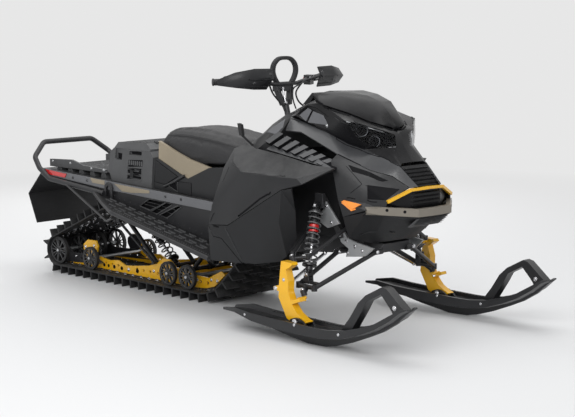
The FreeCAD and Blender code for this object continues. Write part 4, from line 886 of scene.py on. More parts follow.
class SLED_OT_seat(bpy.types.Operator):
    """The padded seat with its seams"""

    bl_idname = "sled.seat"
    bl_label = "Seat"

    def execute(self, context):
        crown = context.scene.sled_sizes.crown
        form = Stock()
        form.rings([seat_section(*station) for station in SEAT_STATIONS])
        pad = linked("seat_cushion", form.mesh("seat_cushion"))
        context.view_layer.objects.active = pad
        modify(pad, "Remesh", "REMESH", mode="VOXEL", voxel_size=0.006)
        modify(pad, "Soften", "SMOOTH", iterations=9, factor=0.5)
        settle(pad)
        tuck(pad.data, crown * 0.6)
        swell(context.scene, pad, crown)
        modify(pad, "Rounder", "SUBSURF", levels=1, render_levels=1)
        dress(pad.data, ["seat vinyl"])
        pad.data.shade_smooth()
        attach(pad, "frame")
        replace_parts(pad, "seat")
        SKINS["seat_cushion"] = skin_of(pad.data)
        make(fill_seams, "seat_seams", ["seat vinyl", "dark thread"], "seat_vinyl")
        return {"FINISHED"}


def settle(piece):
    """Turn a piece's modifiers into its own mesh."""
    graph = bpy.context.evaluated_depsgraph_get()
    graph.update()
    fixed = bpy.data.meshes.new_from_object(piece.evaluated_get(graph))
    piece.modifiers.clear()
    piece.data = fixed


def tuck(mesh, depth):
    """Draw a mesh in along its normals."""
    moved = [v.co - v.normal * depth for v in mesh.vertices]
    for vertex, place in zip(mesh.vertices, moved):
        vertex.co = place


def swell(scene, pad, most):
    """Blow the cover out a little with a cloth simulation and keep the result."""
    last = 20
    before = [v.co.copy() for v in pad.data.vertices]
    held = pad.vertex_groups.new(name="held")
    held.add([i for i, v in enumerate(pad.data.vertices) if v.normal.z < -0.35], 1.0, "REPLACE")
    cloth = pad.modifiers.new("Cloth", "CLOTH")
    cloth.settings.use_pressure = True
    cloth.settings.uniform_pressure_force = 4.0
    cloth.settings.vertex_group_mass = "held"
    cloth.settings.effector_weights.gravity = 0.0
    cloth.settings.quality = 5
    cloth.point_cache.frame_start = 1
    cloth.point_cache.frame_end = last
    for step in range(1, last + 1):
        scene.frame_set(step)
    settle(pad)
    for vertex, start in zip(pad.data.vertices, before):
        move = vertex.co - start
        if move.length > most:
            vertex.co = start + move * (most / move.length)
    scene.frame_set(1)


def damper(stock, foot, head, body, bed, wire, turns, collar):
    """A damper from eye to eye in steel, black and chrome, with its coil spring and adjusting collars."""
    axis = (head - foot).normalized()
    span = (head - foot).length
    for eye in (foot, head):
        stock.lathe(eye, LEFT, [(-0.013, 0.0095), (-0.013, 0.0155), (0.013, 0.0155), (0.013, 0.0095)], 24)
        stock.lathe(eye, LEFT, [(-0.0142, 0.004), (-0.0142, 0.010), (0.0142, 0.010), (0.0142, 0.004)], 20, 3)
    stock.lathe(foot, axis, [(0.012, 0.008), (span * 0.60, 0.008)], 18, 2)
    for profile in (
            [(0.014, 0.012), (0.020, 0.019), (span * 0.10, 0.019), (span * 0.115, bed + 0.001),
             (span * 0.14, bed + 0.001), (span * 0.145, bed - wire), (span * 0.15, 0.010)],
            [(span * 0.44, 0.009), (span * 0.45, body - 0.003), (span * 0.47, body), (span - 0.030, body),
             (span - 0.024, body - 0.004), (span - 0.012, 0.010)],
            [(span * 0.883, body), (span * 0.888, bed), (span * 0.905, bed), (span * 0.91, body + 0.005),
             (span * 0.93, body + 0.003), (span * 0.935, body - 0.003)]):
        stock.lathe(foot, axis, profile, 32)
    low = foot + axis * (span * 0.147)
    high = foot + axis * (span * 0.885)
    stock.coil(low, high, bed - wire / 2, wire, turns, 1)
    for share, size in ((0.66, 0.016), (0.60, 0.010)):
        start = span * share
        stock.lathe(foot, axis, [(start, body), (start + 0.002, body + 0.004), (start + size, body + 0.004),
                                 (start + size + 0.002, body)], 32, collar)


def fill_front_dampers(front):
    sizes = bpy.context.scene.sled_sizes
    damper(front, mm(-62, 425, 316), mm(-129, 300, 648), 0.021, 0.037, sizes.spring_wire,
           sizes.spring_turns, 4)


def fill_skid_dampers(skid):
    wire = bpy.context.scene.sled_sizes.spring_wire
    damper(skid, mm(-1290, 0, 150), mm(-1060, 0, 398), 0.020, 0.036, wire, 8, 3)
    damper(skid, mm(-1576, 0, 122), mm(-1880, 0, 380), 0.020, 0.036, wire, 9, 3)


class SLED_OT_springs(bpy.types.Operator):
    """The front and skid dampers with their coil springs"""

    bl_idname = "sled.springs"
    bl_label = "Dampers and springs"

    def execute(self, context):
        finishes = ["shock steel", "spring enamel", "bright steel", "bush rubber", "dull red"]
        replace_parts(make(fill_front_dampers, "front_dampers", finishes, "steel_dark"), "front_shocks")
        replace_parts(make(fill_skid_dampers, "skid_dampers", finishes, "steel_dark", mirrored=False),
                    "skid_shocks")
        return {"FINISHED"}


def belt_line(count):
    """Evenly spaced places along the belt's loop, each with the way out of the loop and the way along it."""
    rounds = [(REAR_WHEEL[0], FLAT_Z + REAR_WHEEL[1], REAR_WHEEL[1]), (-1.120, FLAT_Z + 0.300, 0.300),
              (-0.768, 0.405, 0.084), (*TOP_WHEEL, IDLER_R)]
    turns = []
    for (x0, z0, r0), (x1, z1, r1) in zip(rounds, rounds[1:] + rounds[:1]):
        lean = math.asin((r1 - r0) / math.hypot(x1 - x0, z1 - z0))
        turns.append(math.atan2(z1 - z0, x1 - x0) - math.pi / 2 - lean)
    path = []
    for i, (x, z, r) in enumerate(rounds):
        start = turns[i - 1]
        end = turns[i]
        while end < start:
            end += 2 * math.pi
        for k in range(41):
            a = start + (end - start) * k / 40
            path.append((x + r * math.cos(a), z + r * math.sin(a), math.cos(a), math.sin(a)))
    path.append(path[0])
    spans = [math.dist(p[:2], q[:2]) for p, q in zip(path, path[1:])]
    total = sum(spans)
    found = []
    walked = 0.0
    for (p, q), span in zip(zip(path, path[1:]), spans):
        while len(found) < count and total * len(found) / count < walked + span:
            t = (total * len(found) / count - walked) / max(span, 1e-9)
            found.append([p[j] + (q[j] - p[j]) * t for j in range(4)])
        walked += span
    return [(x, z, Vector((nx, 0, nz)), Vector((-nz, 0, nx))) for x, z, nx, nz in found]


def fill_clips(clips):
    """Guide clips round the belt, and the ends of its rods and lugs."""
    rows = bpy.context.scene.sled_sizes.lug_rows
    for x, z, out, way in belt_line(rows):
        for w in (RAIL_W + 0.019, RAIL_W - 0.019, 0.06):
            for side in (-1, 1):
                middle = at(x, side * w, z)
                clips.slab(middle - out * 0.001, way * 0.013, LEFT * 0.006, out * 0.0014)
                clips.slab(middle - out * 0.0055, way * 0.009, LEFT * 0.0012, out * 0.0058)
    for x, z, out, way in belt_line(rows * 2):
        for side in (-1, 1):
            clips.slab(at(x, side * 0.199, z) - out * 0.001, way * 0.010, LEFT * 0.008, out * 0.0022, 1)
            clips.slab(at(x, side * 0.250, z) + out * 0.004, way * 0.006, LEFT * 0.0048, out * 0.0030, 1)


def fill_wheels(skid):
    """Hub caps, bolts, spokes and rims of the idler wheels; the rims and spokes are light rings and bars of
    painted highlight.
    """
    spokes = 7
    hub_r = 0.0235
    cap = [(-0.002, 0.0195), (0.003, 0.0185), (0.0042, 0.0150), (0.0045, 0.012)]
    for x, z, radius, places in wheel_centres():
        reach = radius - 0.0165
        for w in places:
            hub = at(x, w + 0.0128, z)
            skid.lathe(hub, RIGHT, cap, 28)
            skid.bolt(hub + RIGHT * 0.004, RIGHT, 0.0060, 3)
            if w < IDLER_W:
                continue
            # Light rings at the rim and the hub, and light spokes: painted highlight.
            skid.hoop(at(x, w + 0.0112, z), RIGHT, radius - 0.0150, 0.0028, 2)
            skid.hoop(at(x, w + 0.0118, z), RIGHT, hub_r, 0.0022, 2)
            for k in range(spokes):
                a = 2 * math.pi * k / spokes
                along = Vector((math.cos(a), 0, math.sin(a)))
                middle = at(x, w + 0.0105, z) + along * (hub_r + reach) / 2
                skid.slab(middle, along * (reach - hub_r) / 2, along.cross(RIGHT) * 0.0022, RIGHT * 0.0016, 2)


def fill_skid(skid):
    """The wheels' fittings, then the bolts of the rails and dark discs of painted shade in their holes."""
    fill_wheels(skid)
    face = RAIL_W + 0.005
    for x in (-2.350, -2.255, -1.595, -1.440, -1.210, -1.090, -1.040):
        skid.bolt(at(x, face, 0.104 if x < -1.2 else 0.118), RIGHT, 0.0068, 1)
    skid.bolt(at(-1.830, face, 0.083), RIGHT, 0.0085, 1)
    # Dark discs in the rails' holes: painted shade where the holes look into the skid.
    for x, z, radius in ((-2.066, 0.084, 0.011), (-2.023, 0.084, 0.010), (-1.968, 0.084, 0.012),
                         (-1.896, 0.083, 0.012), (-1.748, 0.086, 0.014)):
        hole = [(-0.001, radius), (0.0006, radius), (0.0006, radius * 0.8), (0.0003, 0.001)]
        skid.lathe(at(x, face, z), RIGHT, hole, 24, 4)
    for x, z in ((-2.235, 0.178), (-2.150, 0.192), (-2.185, 0.140)):
        skid.bolt(at(x, face + 0.012, z), RIGHT, 0.007, 1)


class SLED_OT_track(bpy.types.Operator):
    """Steel clips, belt rods and lug ribs on the track"""

    bl_idname = "sled.track"
    bl_label = "Track fittings"

    def execute(self, context):
        make(fill_clips, "track_clips", ["bright steel", "track rubber"], "chrome_steel", mirrored=False)
        return {"FINISHED"}


class SLED_OT_skid(bpy.types.Operator):
    """Bolts, hub caps, spokes and axle ends of the skid, with painted highlight on the rims and spokes, and
    painted shade in the holes of its rails
    """

    bl_idname = "sled.skid"
    bl_label = "Skid fittings"

    def execute(self, context):
        finishes = ["wheel plastic", "bright steel", "rim highlight", "dull steel", "deck shadow"]
        make(fill_skid, "skid_fittings", finishes, "chrome_steel")
        return {"FINISHED"}


# Dark joints of the panels, the two widest, under the windshield and along the side panels' lower edge, also
# painted shade in their gaps: the pieces that each lies on, its width and its points
JOINTS_AND_GAP_SHADE = (
    (("hood", "windshield"), 0.011, ((-236, 203, 1163), (-172, 204, 1146), (-83, 188, 1124), (-23, 172, 1109),
                                     (68, 122, 1072), (122, 82, 1052), (142, 42, 1044), (136, 2, 1040))),
    (("hood", "hood_stripes"), 0.005, ((-428, 186, 1074), (-288, 193, 1041), (-148, 201, 1006),
                                       (-23, 181, 957), (73, 171, 936), (165, 138, 900), (257, 101, 862),
                                       (364, 86, 767))),
    (("hood",), 0.0035, ((-372, 200, 1091), (-290, 204, 1138), (-230, 204, 1130), (-167, 204, 1102),
                         (-132, 207, 1062), (-122, 208, 1036))),
    (("hood",), 0.0028, ((-258, 204, 1120), (-300, 203, 1052))),
    (("nose_panels", "hood_stripes"), 0.005, ((-10, 272, 908), (70, 246, 876), (160, 216, 838),
                                              (238, 142, 809), (326, 120, 760))),
    (("nose_panels",), 0.006, ((30, 296, 706), (56, 294, 700), (90, 287, 703), (147, 275, 697),
                               (213, 260, 692), (284, 244, 691))),
    (("nose_panels",), 0.0035, ((45, 269, 858), (95, 262, 815), (140, 254, 774))),
    (("nose_panels",), 0.0035, ((140, 254, 774), (118, 270, 748), (92, 285, 726))),
    (("nose_panels",), 0.0035, ((156, 246, 774), (217, 206, 762), (291, 163, 750))),
    (("belly_pan",), 0.004, ((70, 296, 604), (140, 297, 622), (205, 297, 636))),
    (("side_panels", "lower_panels"), 0.010, ((-736, 483, 505), (-690, 489, 499), (-632, 495, 498),
                                              (-600, 496, 510), (-551, 496, 540), (-457, 492, 603),
                                              (-352, 485, 675), (-300, 483, 702), (-245, 482, 706),
                                              (-160, 460, 722))),
    (("side_panels", "tank_cover"), 0.005, ((-650, 303, 926), (-600, 312, 916), (-542, 327, 908))),
)


# Creases pressed into the panels, in the same form
CREASES = (
    (("side_panels",), 0.010, ((-676, 372, 878), (-607, 444, 828), (-512, 466, 800), (-412, 463, 801),
                               (-304, 468, 797), (-161, 458, 788))),
    (("side_panels",), 0.007, ((-640, 440, 812), (-690, 474, 640), (-738, 482, 520))),
    (("lower_panels",), 0.008, ((-600, 500, 500), (-494, 484, 345))),
    (("belly_pan",), 0.007, ((69, 263, 507), (153, 207, 530), (217, 167, 538), (239, 116, 525))),
    (("hood",), 0.006, ((111, 160, 1050), (72, 206, 1071), (9, 236, 1079), (-80, 214, 1090))),
)


def fill_joints_and_gap_shade(dark):
    for nodes, width, points in JOINTS_AND_GAP_SHADE:
        # Ribbons 10 mm wide and more stand higher: painted shade in the gaps under the windshield and the
        # side panels.
        ribbon(dark, laid(nodes, line_of(*points)), width, 0.0008 if width < 0.01 else 0.0026)


def fill_creases(tone):
    for nodes, width, points in CREASES:
        ribbon(tone, laid(nodes, line_of(*points)), width, 0.0022, sunk=0.002)


def fill_pads(pads):
    """Two inserts on the hood's side and the bolt below them."""
    for outline in (((-352, 203, 1086), (-290, 203, 1126), (-262, 203, 1116), (-306, 203, 1054)),
                    ((-252, 203, 1112), (-178, 203, 1094), (-140, 203, 1046), (-292, 203, 1050))):
        corners = [snap(["hood"], p) for p in line_of(*outline)]
        pads.prism([place + normal * 0.0012 for place, normal in corners], LEFT * 0.0016)
    pads.bolt(*snap(["hood"], mm(-155, 204, 1042)), 0.0075, 1)


def fill_fields(fields):
    """Dark fields on the side of the nose."""
    for corners in (((164, 240, 770), (300, 150, 753), (286, 238, 704), (186, 262, 702)),
                    ((52, 262, 864), (238, 166, 794), (214, 186, 786), (82, 262, 832))):
        patch(fields, "nose_panels", line_of(*corners), 0.0012, 20)


def fill_lens(lens):
    """The lens over the reflector."""
    lens.prism(line_of((46, 305, 681), (62, 302, 691), (174, 296, 679), (128, 311, 651)),
               Vector((-0.22, 0.94, -0.26)) * 0.010)


def fill_corner(corner):
    """A panel at the corner of the tank's cover."""
    corners = line_of((-574, 222, 984), (-482, 176, 1060), (-446, 226, 1016), (-474, 256, 982))
    patch(corner, "tank_cover", corners, 0.002)


class SLED_OT_seams(bpy.types.Operator):
    """Joints with painted shade in the widest gaps, creases, inserts and small lenses of the body panels"""

    bl_idname = "sled.seams"
    bl_label = "Panel joints"

    def execute(self, context):
        make(fill_joints_and_gap_shade, "panel_joints_and_gap_shade", ["joint black"], "body_black")
        make(fill_creases, "panel_creases", ["satin panel"], "body_black", angle=60)
        make(fill_pads, "hood_inserts", ["hood insert", "dull steel"], "body_dark", bevel=0.0006)
        make(fill_fields, "nose_fields", ["nose black"], "body_black")
        make(fill_lens, "reflector_lenses", ["orange lens"], "lens_orange", bevel=0.0012)
        make(fill_corner, "corner_panels", ["hood insert"], "body_dark")
        return {"FINISHED"}


def fill_lamps(lamps):
    """Reflector bowls with painted light, their bulbs and bezels, and the dark plate behind them."""
    ahead = Vector((0.82, -0.55, 0.04)).normalized()
    bulb = [(-0.018, 0.0075), (-0.006, 0.0085), (-0.002, 0.006), (-0.0005, 0.001)]
    for x, w, z, radius in ((82, 188, 1031, 0.027), (124, 142, 976, 0.025), (44, 208, 1050, 0.016)):
        centre = mm(x, w, z) - ahead * 0.020
        bowl = [(-0.022, 0.004), (-0.019, radius * 0.55), (-0.010, radius * 0.86), (0.0, radius),
                (0.002, radius + 0.004), (-0.002, radius + 0.0045), (-0.024, radius * 0.7)]
        bezel = [(0.001, radius + 0.003), (0.004, radius + 0.003), (0.004, radius + 0.0075),
                 (-0.003, radius + 0.009)]
        lamps.lathe(centre, ahead, bowl, 40)
        lamps.lathe(centre, ahead, bulb, 24, 1)
        lamps.lathe(centre, ahead, bezel, 40, 2)
    plate = line_of((5, 226, 1072), (70, 206, 1064), (108, 158, 1042), (156, 108, 1020), (190, 30, 1004),
                    (196, 26, 946), (162, 104, 944), (128, 148, 956), (82, 202, 990))
    lamps.prism([p - ahead * 0.052 for p in plate], -ahead * 0.006, 2)


def fill_nose(nose):
    """Sockets of the front bumper and slats of the grille."""
    socket = [(-0.001, 0.0075), (0.0006, 0.0075), (0.0006, 0.0058), (-0.0006, 0.0050), (-0.0006, 0.001)]
    for x, w, z in ((302, 247, 657), (358, 178, 648)):
        nose.lathe(*snap(["front_bumper"], mm(x, w, z)), socket, 24)
    for k in range(5):
        nose.slab(at(0.3925 - 0.0095 * k, 0.052, 0.604 - 0.0085 * k), LEFT * 0.052,
                  Vector((0.0035, 0, 0.001)), UP * 0.0012, 1)
    for k in range(9):
        nose.slab(at(0.270 + 0.0085 * k, 0.043, 0.842 - 0.0088 * k), LEFT * 0.042, Vector((0.003, 0, 0.003)),
                  Vector((0.0008, 0, -0.0008)), 1)


def fill_gauge(gauge):
    """The gauge's glass with two dials and their ticks."""
    face = line_of((-424, -72, 1152), (-424, 72, 1152), (-384, 72, 1192), (-384, -72, 1192))
    outward = Vector((-0.70, 0, 0.71))
    gauge.prism([p - outward * 0.002 for p in face], outward * 0.003)
    rim = [(0.0, 0.024), (0.0012, 0.024), (0.0012, 0.0215), (0.0004, 0.0205)]
    for side in (-0.038, 0.038):
        hub = middle_of(face) + LEFT * side + outward * 0.0012
        gauge.lathe(hub, outward, rim, 36, 1)
        for k in range(13):
            a = math.radians(-210 + 20 * k)
            along = Vector((0.71, 0, 0.70)) * math.sin(a) + LEFT * math.cos(a)
            gauge.slab(hub + along * 0.0175 + outward * 0.0006, along * 0.0018, along.cross(outward) * 0.0004,
                       outward * 0.0003, 2)


class SLED_OT_lamps(bpy.types.Operator):
    """Bowls behind the headlamp lenses, the grille's slats and the gauge's face"""

    bl_idname = "sled.lamps"
    bl_label = "Lamps and nose fittings"

    def execute(self, context):
        make(fill_lamps, "lamp_bowls", ["bowl silver with painted light", "joint black", "joint black"], "chrome_steel")
        make(fill_nose, "nose_fittings", ["joint black", "grained panel"], "body_dark")
        make(fill_gauge, "gauge_face", ["gloss shield", "dull steel", "dial white"], "gauge_gloss",
             mirrored=False)
        return {"FINISHED"}


# Distance out of the strip along the tunnel's side
STRIP_W = 0.288


def board_top(x):
    """Height of the running board's top, which rises to the rear."""
    return 0.326 + (-0.745 - x) * 0.185


def fill_inserts(inserts):
    """Beige fields of the strip."""
    for outline in (((-2030, 628), (-1890, 622), (-1893, 596), (-2008, 600)),
                    ((-1800, 612), (-1478, 600), (-1476, 584), (-1640, 572), (-1724, 573))):
        inserts.prism(upright(STRIP_W, *outline), RIGHT * 0.0014)


def fill_flap(flap):
    """Bolts and level ribs of the snow flap."""
    for w in (0.05, 0.15, 0.24):
        flap.bolt(*surface("snow_flap", at(-3.2, w, 0.600), AHEAD), 0.0078)
    for z in (0.560, 0.450, 0.345):
        line = [surface("snow_flap", at(-3.2, 0.222 - 0.222 * k / 26, z), AHEAD) for k in range(27)]
        ribbon(flap, line, 0.010, 0.0020, 1)


def fill_fixings(fixings):
    """Bolts of the strip and two rows of rivets on the tunnel's side."""
    for x in (-1.335, -1.201, -0.900, -2.060, -2.200):
        fixings.bolt(at(x, STRIP_W, 0.645 - (x + 2.540) * 0.0405 - 0.016), RIGHT, 0.0062, 1)
    rivet = [(-0.001, 0.0045), (0.0008, 0.0042), (0.002, 0.0025)]
    for k in range(21):
        x = -1.040 - 0.048 * k
        fixings.lathe(at(x, 0.280, board_top(x) + 0.018), RIGHT, rivet + [(0.0023, 0.0005)], 12, 1)
    for k in range(9):
        fixings.lathe(at(-1.62 - 0.075 * k, 0.280, 0.560), RIGHT, rivet, 12, 1)


def fill_louvres(frames):
    """The louvres' ground, a dark sheet of painted shade, and a frame with two bars round each, the frame a
    painted highlight.
    """
    ground = upright(0.262, (-1590, 556), (-1590, 486), (-1300, 440), (-1180, 450), (-1180, 546))
    frames.prism(ground, RIGHT * 0.0015, 1)
    for outline in (((-1489, 546), (-1571, 502), (-1481, 488), (-1348, 543)),
                    ((-1339, 541), (-1473, 479), (-1419, 471), (-1286, 535)),
                    ((-1238, 533), (-1393, 468), (-1331, 457), (-1209, 529))):
        corners = upright(0.2805, *outline)
        middle = middle_of(corners)
        frames.pipe([p + (p - middle).normalized() * 0.004 for p in corners], 0.0034, 6, 0, True)
        grille = [p + (middle - p) * 0.04 + LEFT * 0.0035 for p in corners]
        for share in (1 / 3, 2 / 3):
            bar = [grille[0].lerp(grille[1], share), grille[3].lerp(grille[2], share)]
            frames.pipe(bar, 0.0017, 6, 2)


def fill_teeth(teeth):
    """Two rows of toothed holes along the board, and a row of fine teeth along its edge."""
    coarse = [(0.0, 0.0042), (0.004, 0.0026), (0.0075, 0.0008)]
    fine = [(0.0, 0.0036), (0.003, 0.0030), (0.0055, 0.0008)]
    for k in range(11):
        x = -0.900 - 0.088 * k
        for w in (0.328, 0.402) if x >= -1.700 else (0.328,):
            for j in range(6):
                for edge in (-0.0155, 0.0155):
                    aft = x - 0.026 + 0.0104 * j
                    teeth.lathe(at(aft, w + edge, board_top(aft) - 0.0005), UP, coarse, 6)
    for k in range(46):
        x = -0.780 - 0.0185 * k
        w = 0.460 - max(0.0, (-0.745 - x)) * 0.022
        teeth.lathe(at(x, w, board_top(x) - 0.0005), UP, fine, 6)


class SLED_OT_tunnel(bpy.types.Operator):
    """Strip inserts, rivets, louvre frames, the boards' grip teeth and the flap's ribs"""

    bl_idname = "sled.tunnel"
    bl_label = "Tunnel and board fittings"

    def execute(self, context):
        make(fill_inserts, "strip_inserts", ["beige plastic"], "beige", bevel=0.0004)
        make(fill_fixings, "tunnel_fixings", ["bright steel", "powder coat"], "chrome_steel")
        # Louvre frames of painted highlight on a ground of painted shade.
        make(fill_louvres, "louvre_frames", ["rim highlight", "deck shadow", "powder coat"], "frame_black")
        make(fill_teeth, "board_teeth", ["board teeth"], "frame_black")
        make(fill_flap, "flap_fittings", ["bright steel", "flap rubber"], "rubber_flap")
        return {"FINISHED"}


def fill_hollows(hollow):
    """Shallow dark panels of painted shade in the hollows, slats and ribs of painted highlight, and a catch
    on the storage box's side.
    """
    for outline in (((-1738, 702), (-1616, 712), (-1616, 648), (-1744, 642)),
                    ((-1738, 752), (-1608, 760), (-1608, 722), (-1738, 712)),
                    ((-1852, 786), (-1800, 786), (-1800, 748), (-1852, 748)),
                    ((-1732, 806), (-1626, 806), (-1634, 786), (-1722, 786))):
        corners = [from_right("storage_box", x / 1000, z / 1000) for x, z in outline]
        patch(hollow, "storage_box", corners, 0.0008)
    for k in range(7):
        hollow.slab(from_right("storage_box", -1.726 + 0.0185 * k, 0.737) + RIGHT * 0.0012,
                    Vector((0.0052, 0, 0.003)), Vector((-0.001, 0, 0.0125)), RIGHT * 0.0014, 1)
    for x, z, half in ((-1.673, 0.7105, 0.066), (-1.678, 0.641, 0.064), (-1.679, 0.8085, 0.054)):
        hollow.slab(from_right("storage_box", x, z) + RIGHT * 0.0012, Vector((half, 0, 0.002)), UP * 0.0028,
                    RIGHT * 0.0016, 1)
    hollow.slab(from_right("storage_box", -1.700, 0.672) + RIGHT * 0.0018, AHEAD * 0.014, UP * 0.022,
                RIGHT * 0.0012, 2)


def fill_base(base):
    """Two panels framed in painted shade, a dark corner of painted shade with a light line of painted
    highlight along two of its edges, and a bar below the seat.
    """
    level = 0.228
    for outline in (((-1490, 772), (-1292, 690), (-1404, 634), (-1502, 642)),
                    ((-1294, 664), (-1180, 664), (-1178, 590), (-1290, 598))):
        shape = upright(level, *outline)
        middle = middle_of(shape)
        base.prism([p + RIGHT * 0.0002 for p in shape], RIGHT * 0.0010, 1)
        base.prism([p.lerp(middle, 0.07) + RIGHT * 0.0002 for p in shape], RIGHT * 0.0030)
    base.prism(upright(level, (-1376, 634), (-1302, 656), (-1300, 606)), RIGHT * 0.001, 1)
    base.pipe(line_of((-1412, 232, 624), (-1330, 233, 656), (-1236, 233, 700)), 0.0075, 10, 2)
    base.pipe(line_of((-1376, 229, 632), (-1300, 229, 603), (-1302, 229, 655)), 0.0016, 6, 3)


def fill_deck(deck):
    """Ribs across the rear deck and screws along its edge."""
    for k in range(12):
        x = -2.450 + 0.042 * k
        top = from_above("rear_deck", x, 0.0)[0].z
        deck.slab(at(x, 0.095, top + 0.0012), AHEAD * 0.006, LEFT * 0.09, UP * 0.0016)
    for x in (-2.49, -2.31, -2.10, -1.98):
        deck.bolt(at(x, 0.225, 0.672 if x > -2.2 else 0.688), RIGHT, 0.006, 1)


def fill_gasket(gasket):
    """The seal that the lid rests on."""
    z = 813.5
    gasket.pipe(line_of((-1868, 205, z), (-1560, 205, z), (-1560, -205, z), (-1868, -205, z)), 0.0016, 6,
                closed=True)


def fill_lid(lid):
    """The lid's latches with their screws."""
    for w in (0.0, 0.10):
        place, normal = from_above("storage_lid", -1.612, w)
        lid.slab(place + normal * 0.002, Vector((0.012, 0, -0.004)), LEFT * 0.030, normal * 0.003)
        lid.bolt(place + normal * 0.004, normal, 0.0045, 1)


class SLED_OT_deck(bpy.types.Operator):
    """Screws, latches and ribs of the rear deck and the storage box"""

    bl_idname = "sled.deck"
    bl_label = "Deck and box fittings"

    def execute(self, context):
        # The box's hollows: dark patches of painted shade with slats and ribs of painted highlight.
        make(fill_hollows, "box_hollows", ["deck shadow", "rim highlight", "grained panel"], "body_dark")
        # Panels framed in painted shade, and a dark corner of painted shade edged with painted highlight.
        make(fill_base, "base_panels", ["grained panel", "deck shadow", "powder coat", "rim highlight"],
             "body_dark", bevel=0.001)
        make(fill_deck, "deck_fittings", ["box plastic", "dull steel"], "body_dark", bevel=0.0008)
        make(fill_gasket, "box_gasket", ["tyre rubber"], "rubber_flap", mirrored=False)
        make(fill_lid, "lid_latches", ["grained panel", "dull steel"], "body_dark", "lid", bevel=0.001)
        return {"FINISHED"}


STANCE = 0.540
KINGPIN = Vector((-math.sin(math.radians(25)), 0, math.cos(math.radians(25))))


def fill_ski(stock, node, hand):
    """Bolts, grip teeth, wear bar and loop ribs of one ski."""
    out = RIGHT * hand
    w = hand * STANCE
    for way in (out, -out):
        for x, z in ((0.328, 0.096), (0.029, 0.098), (-0.330, 0.098)):
            place = surface(node, at(x, w, z) + way * 0.4, -way)[0]
            stock.bolt(place - way * 0.0048, way, 0.0078)
        stock.bolt(*surface(node, at(0.640, w, 0.262) + way * 0.4, -way), 0.0085)
    for k in range(26):
        for shift in (-0.064, 0.064):
            place = from_above(node, -0.260 + 0.022 * k, w + shift)[0]
            stock.slab(place + UP * 0.0010, AHEAD * 0.005, LEFT * 0.0052, UP * 0.0022, 1)
    runner = [surface(node, at(-0.270 + 0.043 * k, w, -0.5), UP)[0] + UP * 0.0035 for k in range(15)]
    stock.pipe(runner, 0.0042, 10, 2)
    rib = [from_above(node, 0.455 + 0.0065 * k, w) for k in range(20)]
    for shift in (-0.012, 0.0, 0.012):
        ribbon(stock, [(place + LEFT * shift, normal) for place, normal in rib], 0.0042, 0.0010, 1)


def fill_leg(leg, hand):
    """The ski bolt's heads, the ball joints' nuts and the bolts of one spindle."""
    out = RIGHT * hand
    pin = at(0, hand * STANCE, 0.101)
    for way in (out, -out):
        leg.bolt(pin + way * 0.0452, way, 0.0125)
    nut = [(-0.019, 0.004), (-0.019, 0.0085), (-0.010, 0.0085), (-0.010, 0.0075)]
    for x, z in ((-0.020, 0.211), (-0.0955, 0.375)):
        leg.lathe(at(x, hand * 0.490, z), KINGPIN, nut, 6)
    for x, z, radius in ((-0.158, 0.249, 0.0088), (-0.100, 0.300, 0.0064)):
        leg.bolt(at(x, hand * (STANCE + 0.022), z), out, radius)


def fill_front(front):
    """Rubber boots of the ball joints, and the bolts of the arms, the front frame and the dampers."""
    collar = [(0.0152, 0.0145), (0.017, 0.0145), (0.0185, 0.0105), (0.0225, 0.0095)]
    for x, z in ((-0.020, 0.211), (-0.0965, 0.375)):
        seat = at(x, 0.490, z) + KINGPIN * 0.0243
        front.lathe(seat, KINGPIN, collar, 24)
        for k in range(3):
            fold = [(-0.011 + 0.008 * k, 0.0151), (-0.009 + 0.008 * k, 0.0163), (-0.007 + 0.008 * k, 0.0151)]
            front.lathe(seat, KINGPIN, fold, 24, 1)
    for x, w, z in ((128, 138, 418), (-90, 186, 402), (20, 186, 560), (-250, 186, 560)):
        for way in (AHEAD, -AHEAD):
            front.bolt(mm(x, w, z) + way * 0.0165, way, 0.0072)
    for x, w, z, radius in ((-60, 196, 488, 0.0062), (-20, 196, 462, 0.0062), (40, 196, 442, 0.0062),
                            (90, 196, 424, 0.0062), (-10, 196, 402, 0.0062), (-96, 262, 640, 0.0062),
                            (-62, 262, 560, 0.0062), (-62, 444, 316, 0.0085), (-129, 319, 648, 0.0085)):
        front.bolt(mm(x, w, z), RIGHT, radius)


class SLED_OT_skis(bpy.types.Operator):
    """Fittings of each ski, of its leg and of the front frame"""

    bl_idname = "sled.skis"
    bl_label = "Ski fittings"

    def execute(self, context):
        for name, hand, body in (("R", 1, "leg_right"), ("L", -1, "leg_left")):
            ski = Stock()
            fill_ski(ski, "ski_" + name, hand)
            ski.piece("ski_fittings_" + name, ["bright steel", "ski plastic", "dull steel"], body,
                      "chrome_steel", bevel=0.0004)
            leg = Stock()
            fill_leg(leg, hand)
            leg.piece("leg_fittings_" + name, ["bright steel"], body, "chrome_steel")
        make(fill_front, "front_fittings", ["bright steel", "bush rubber"], "chrome_steel")
        return {"FINISHED"}


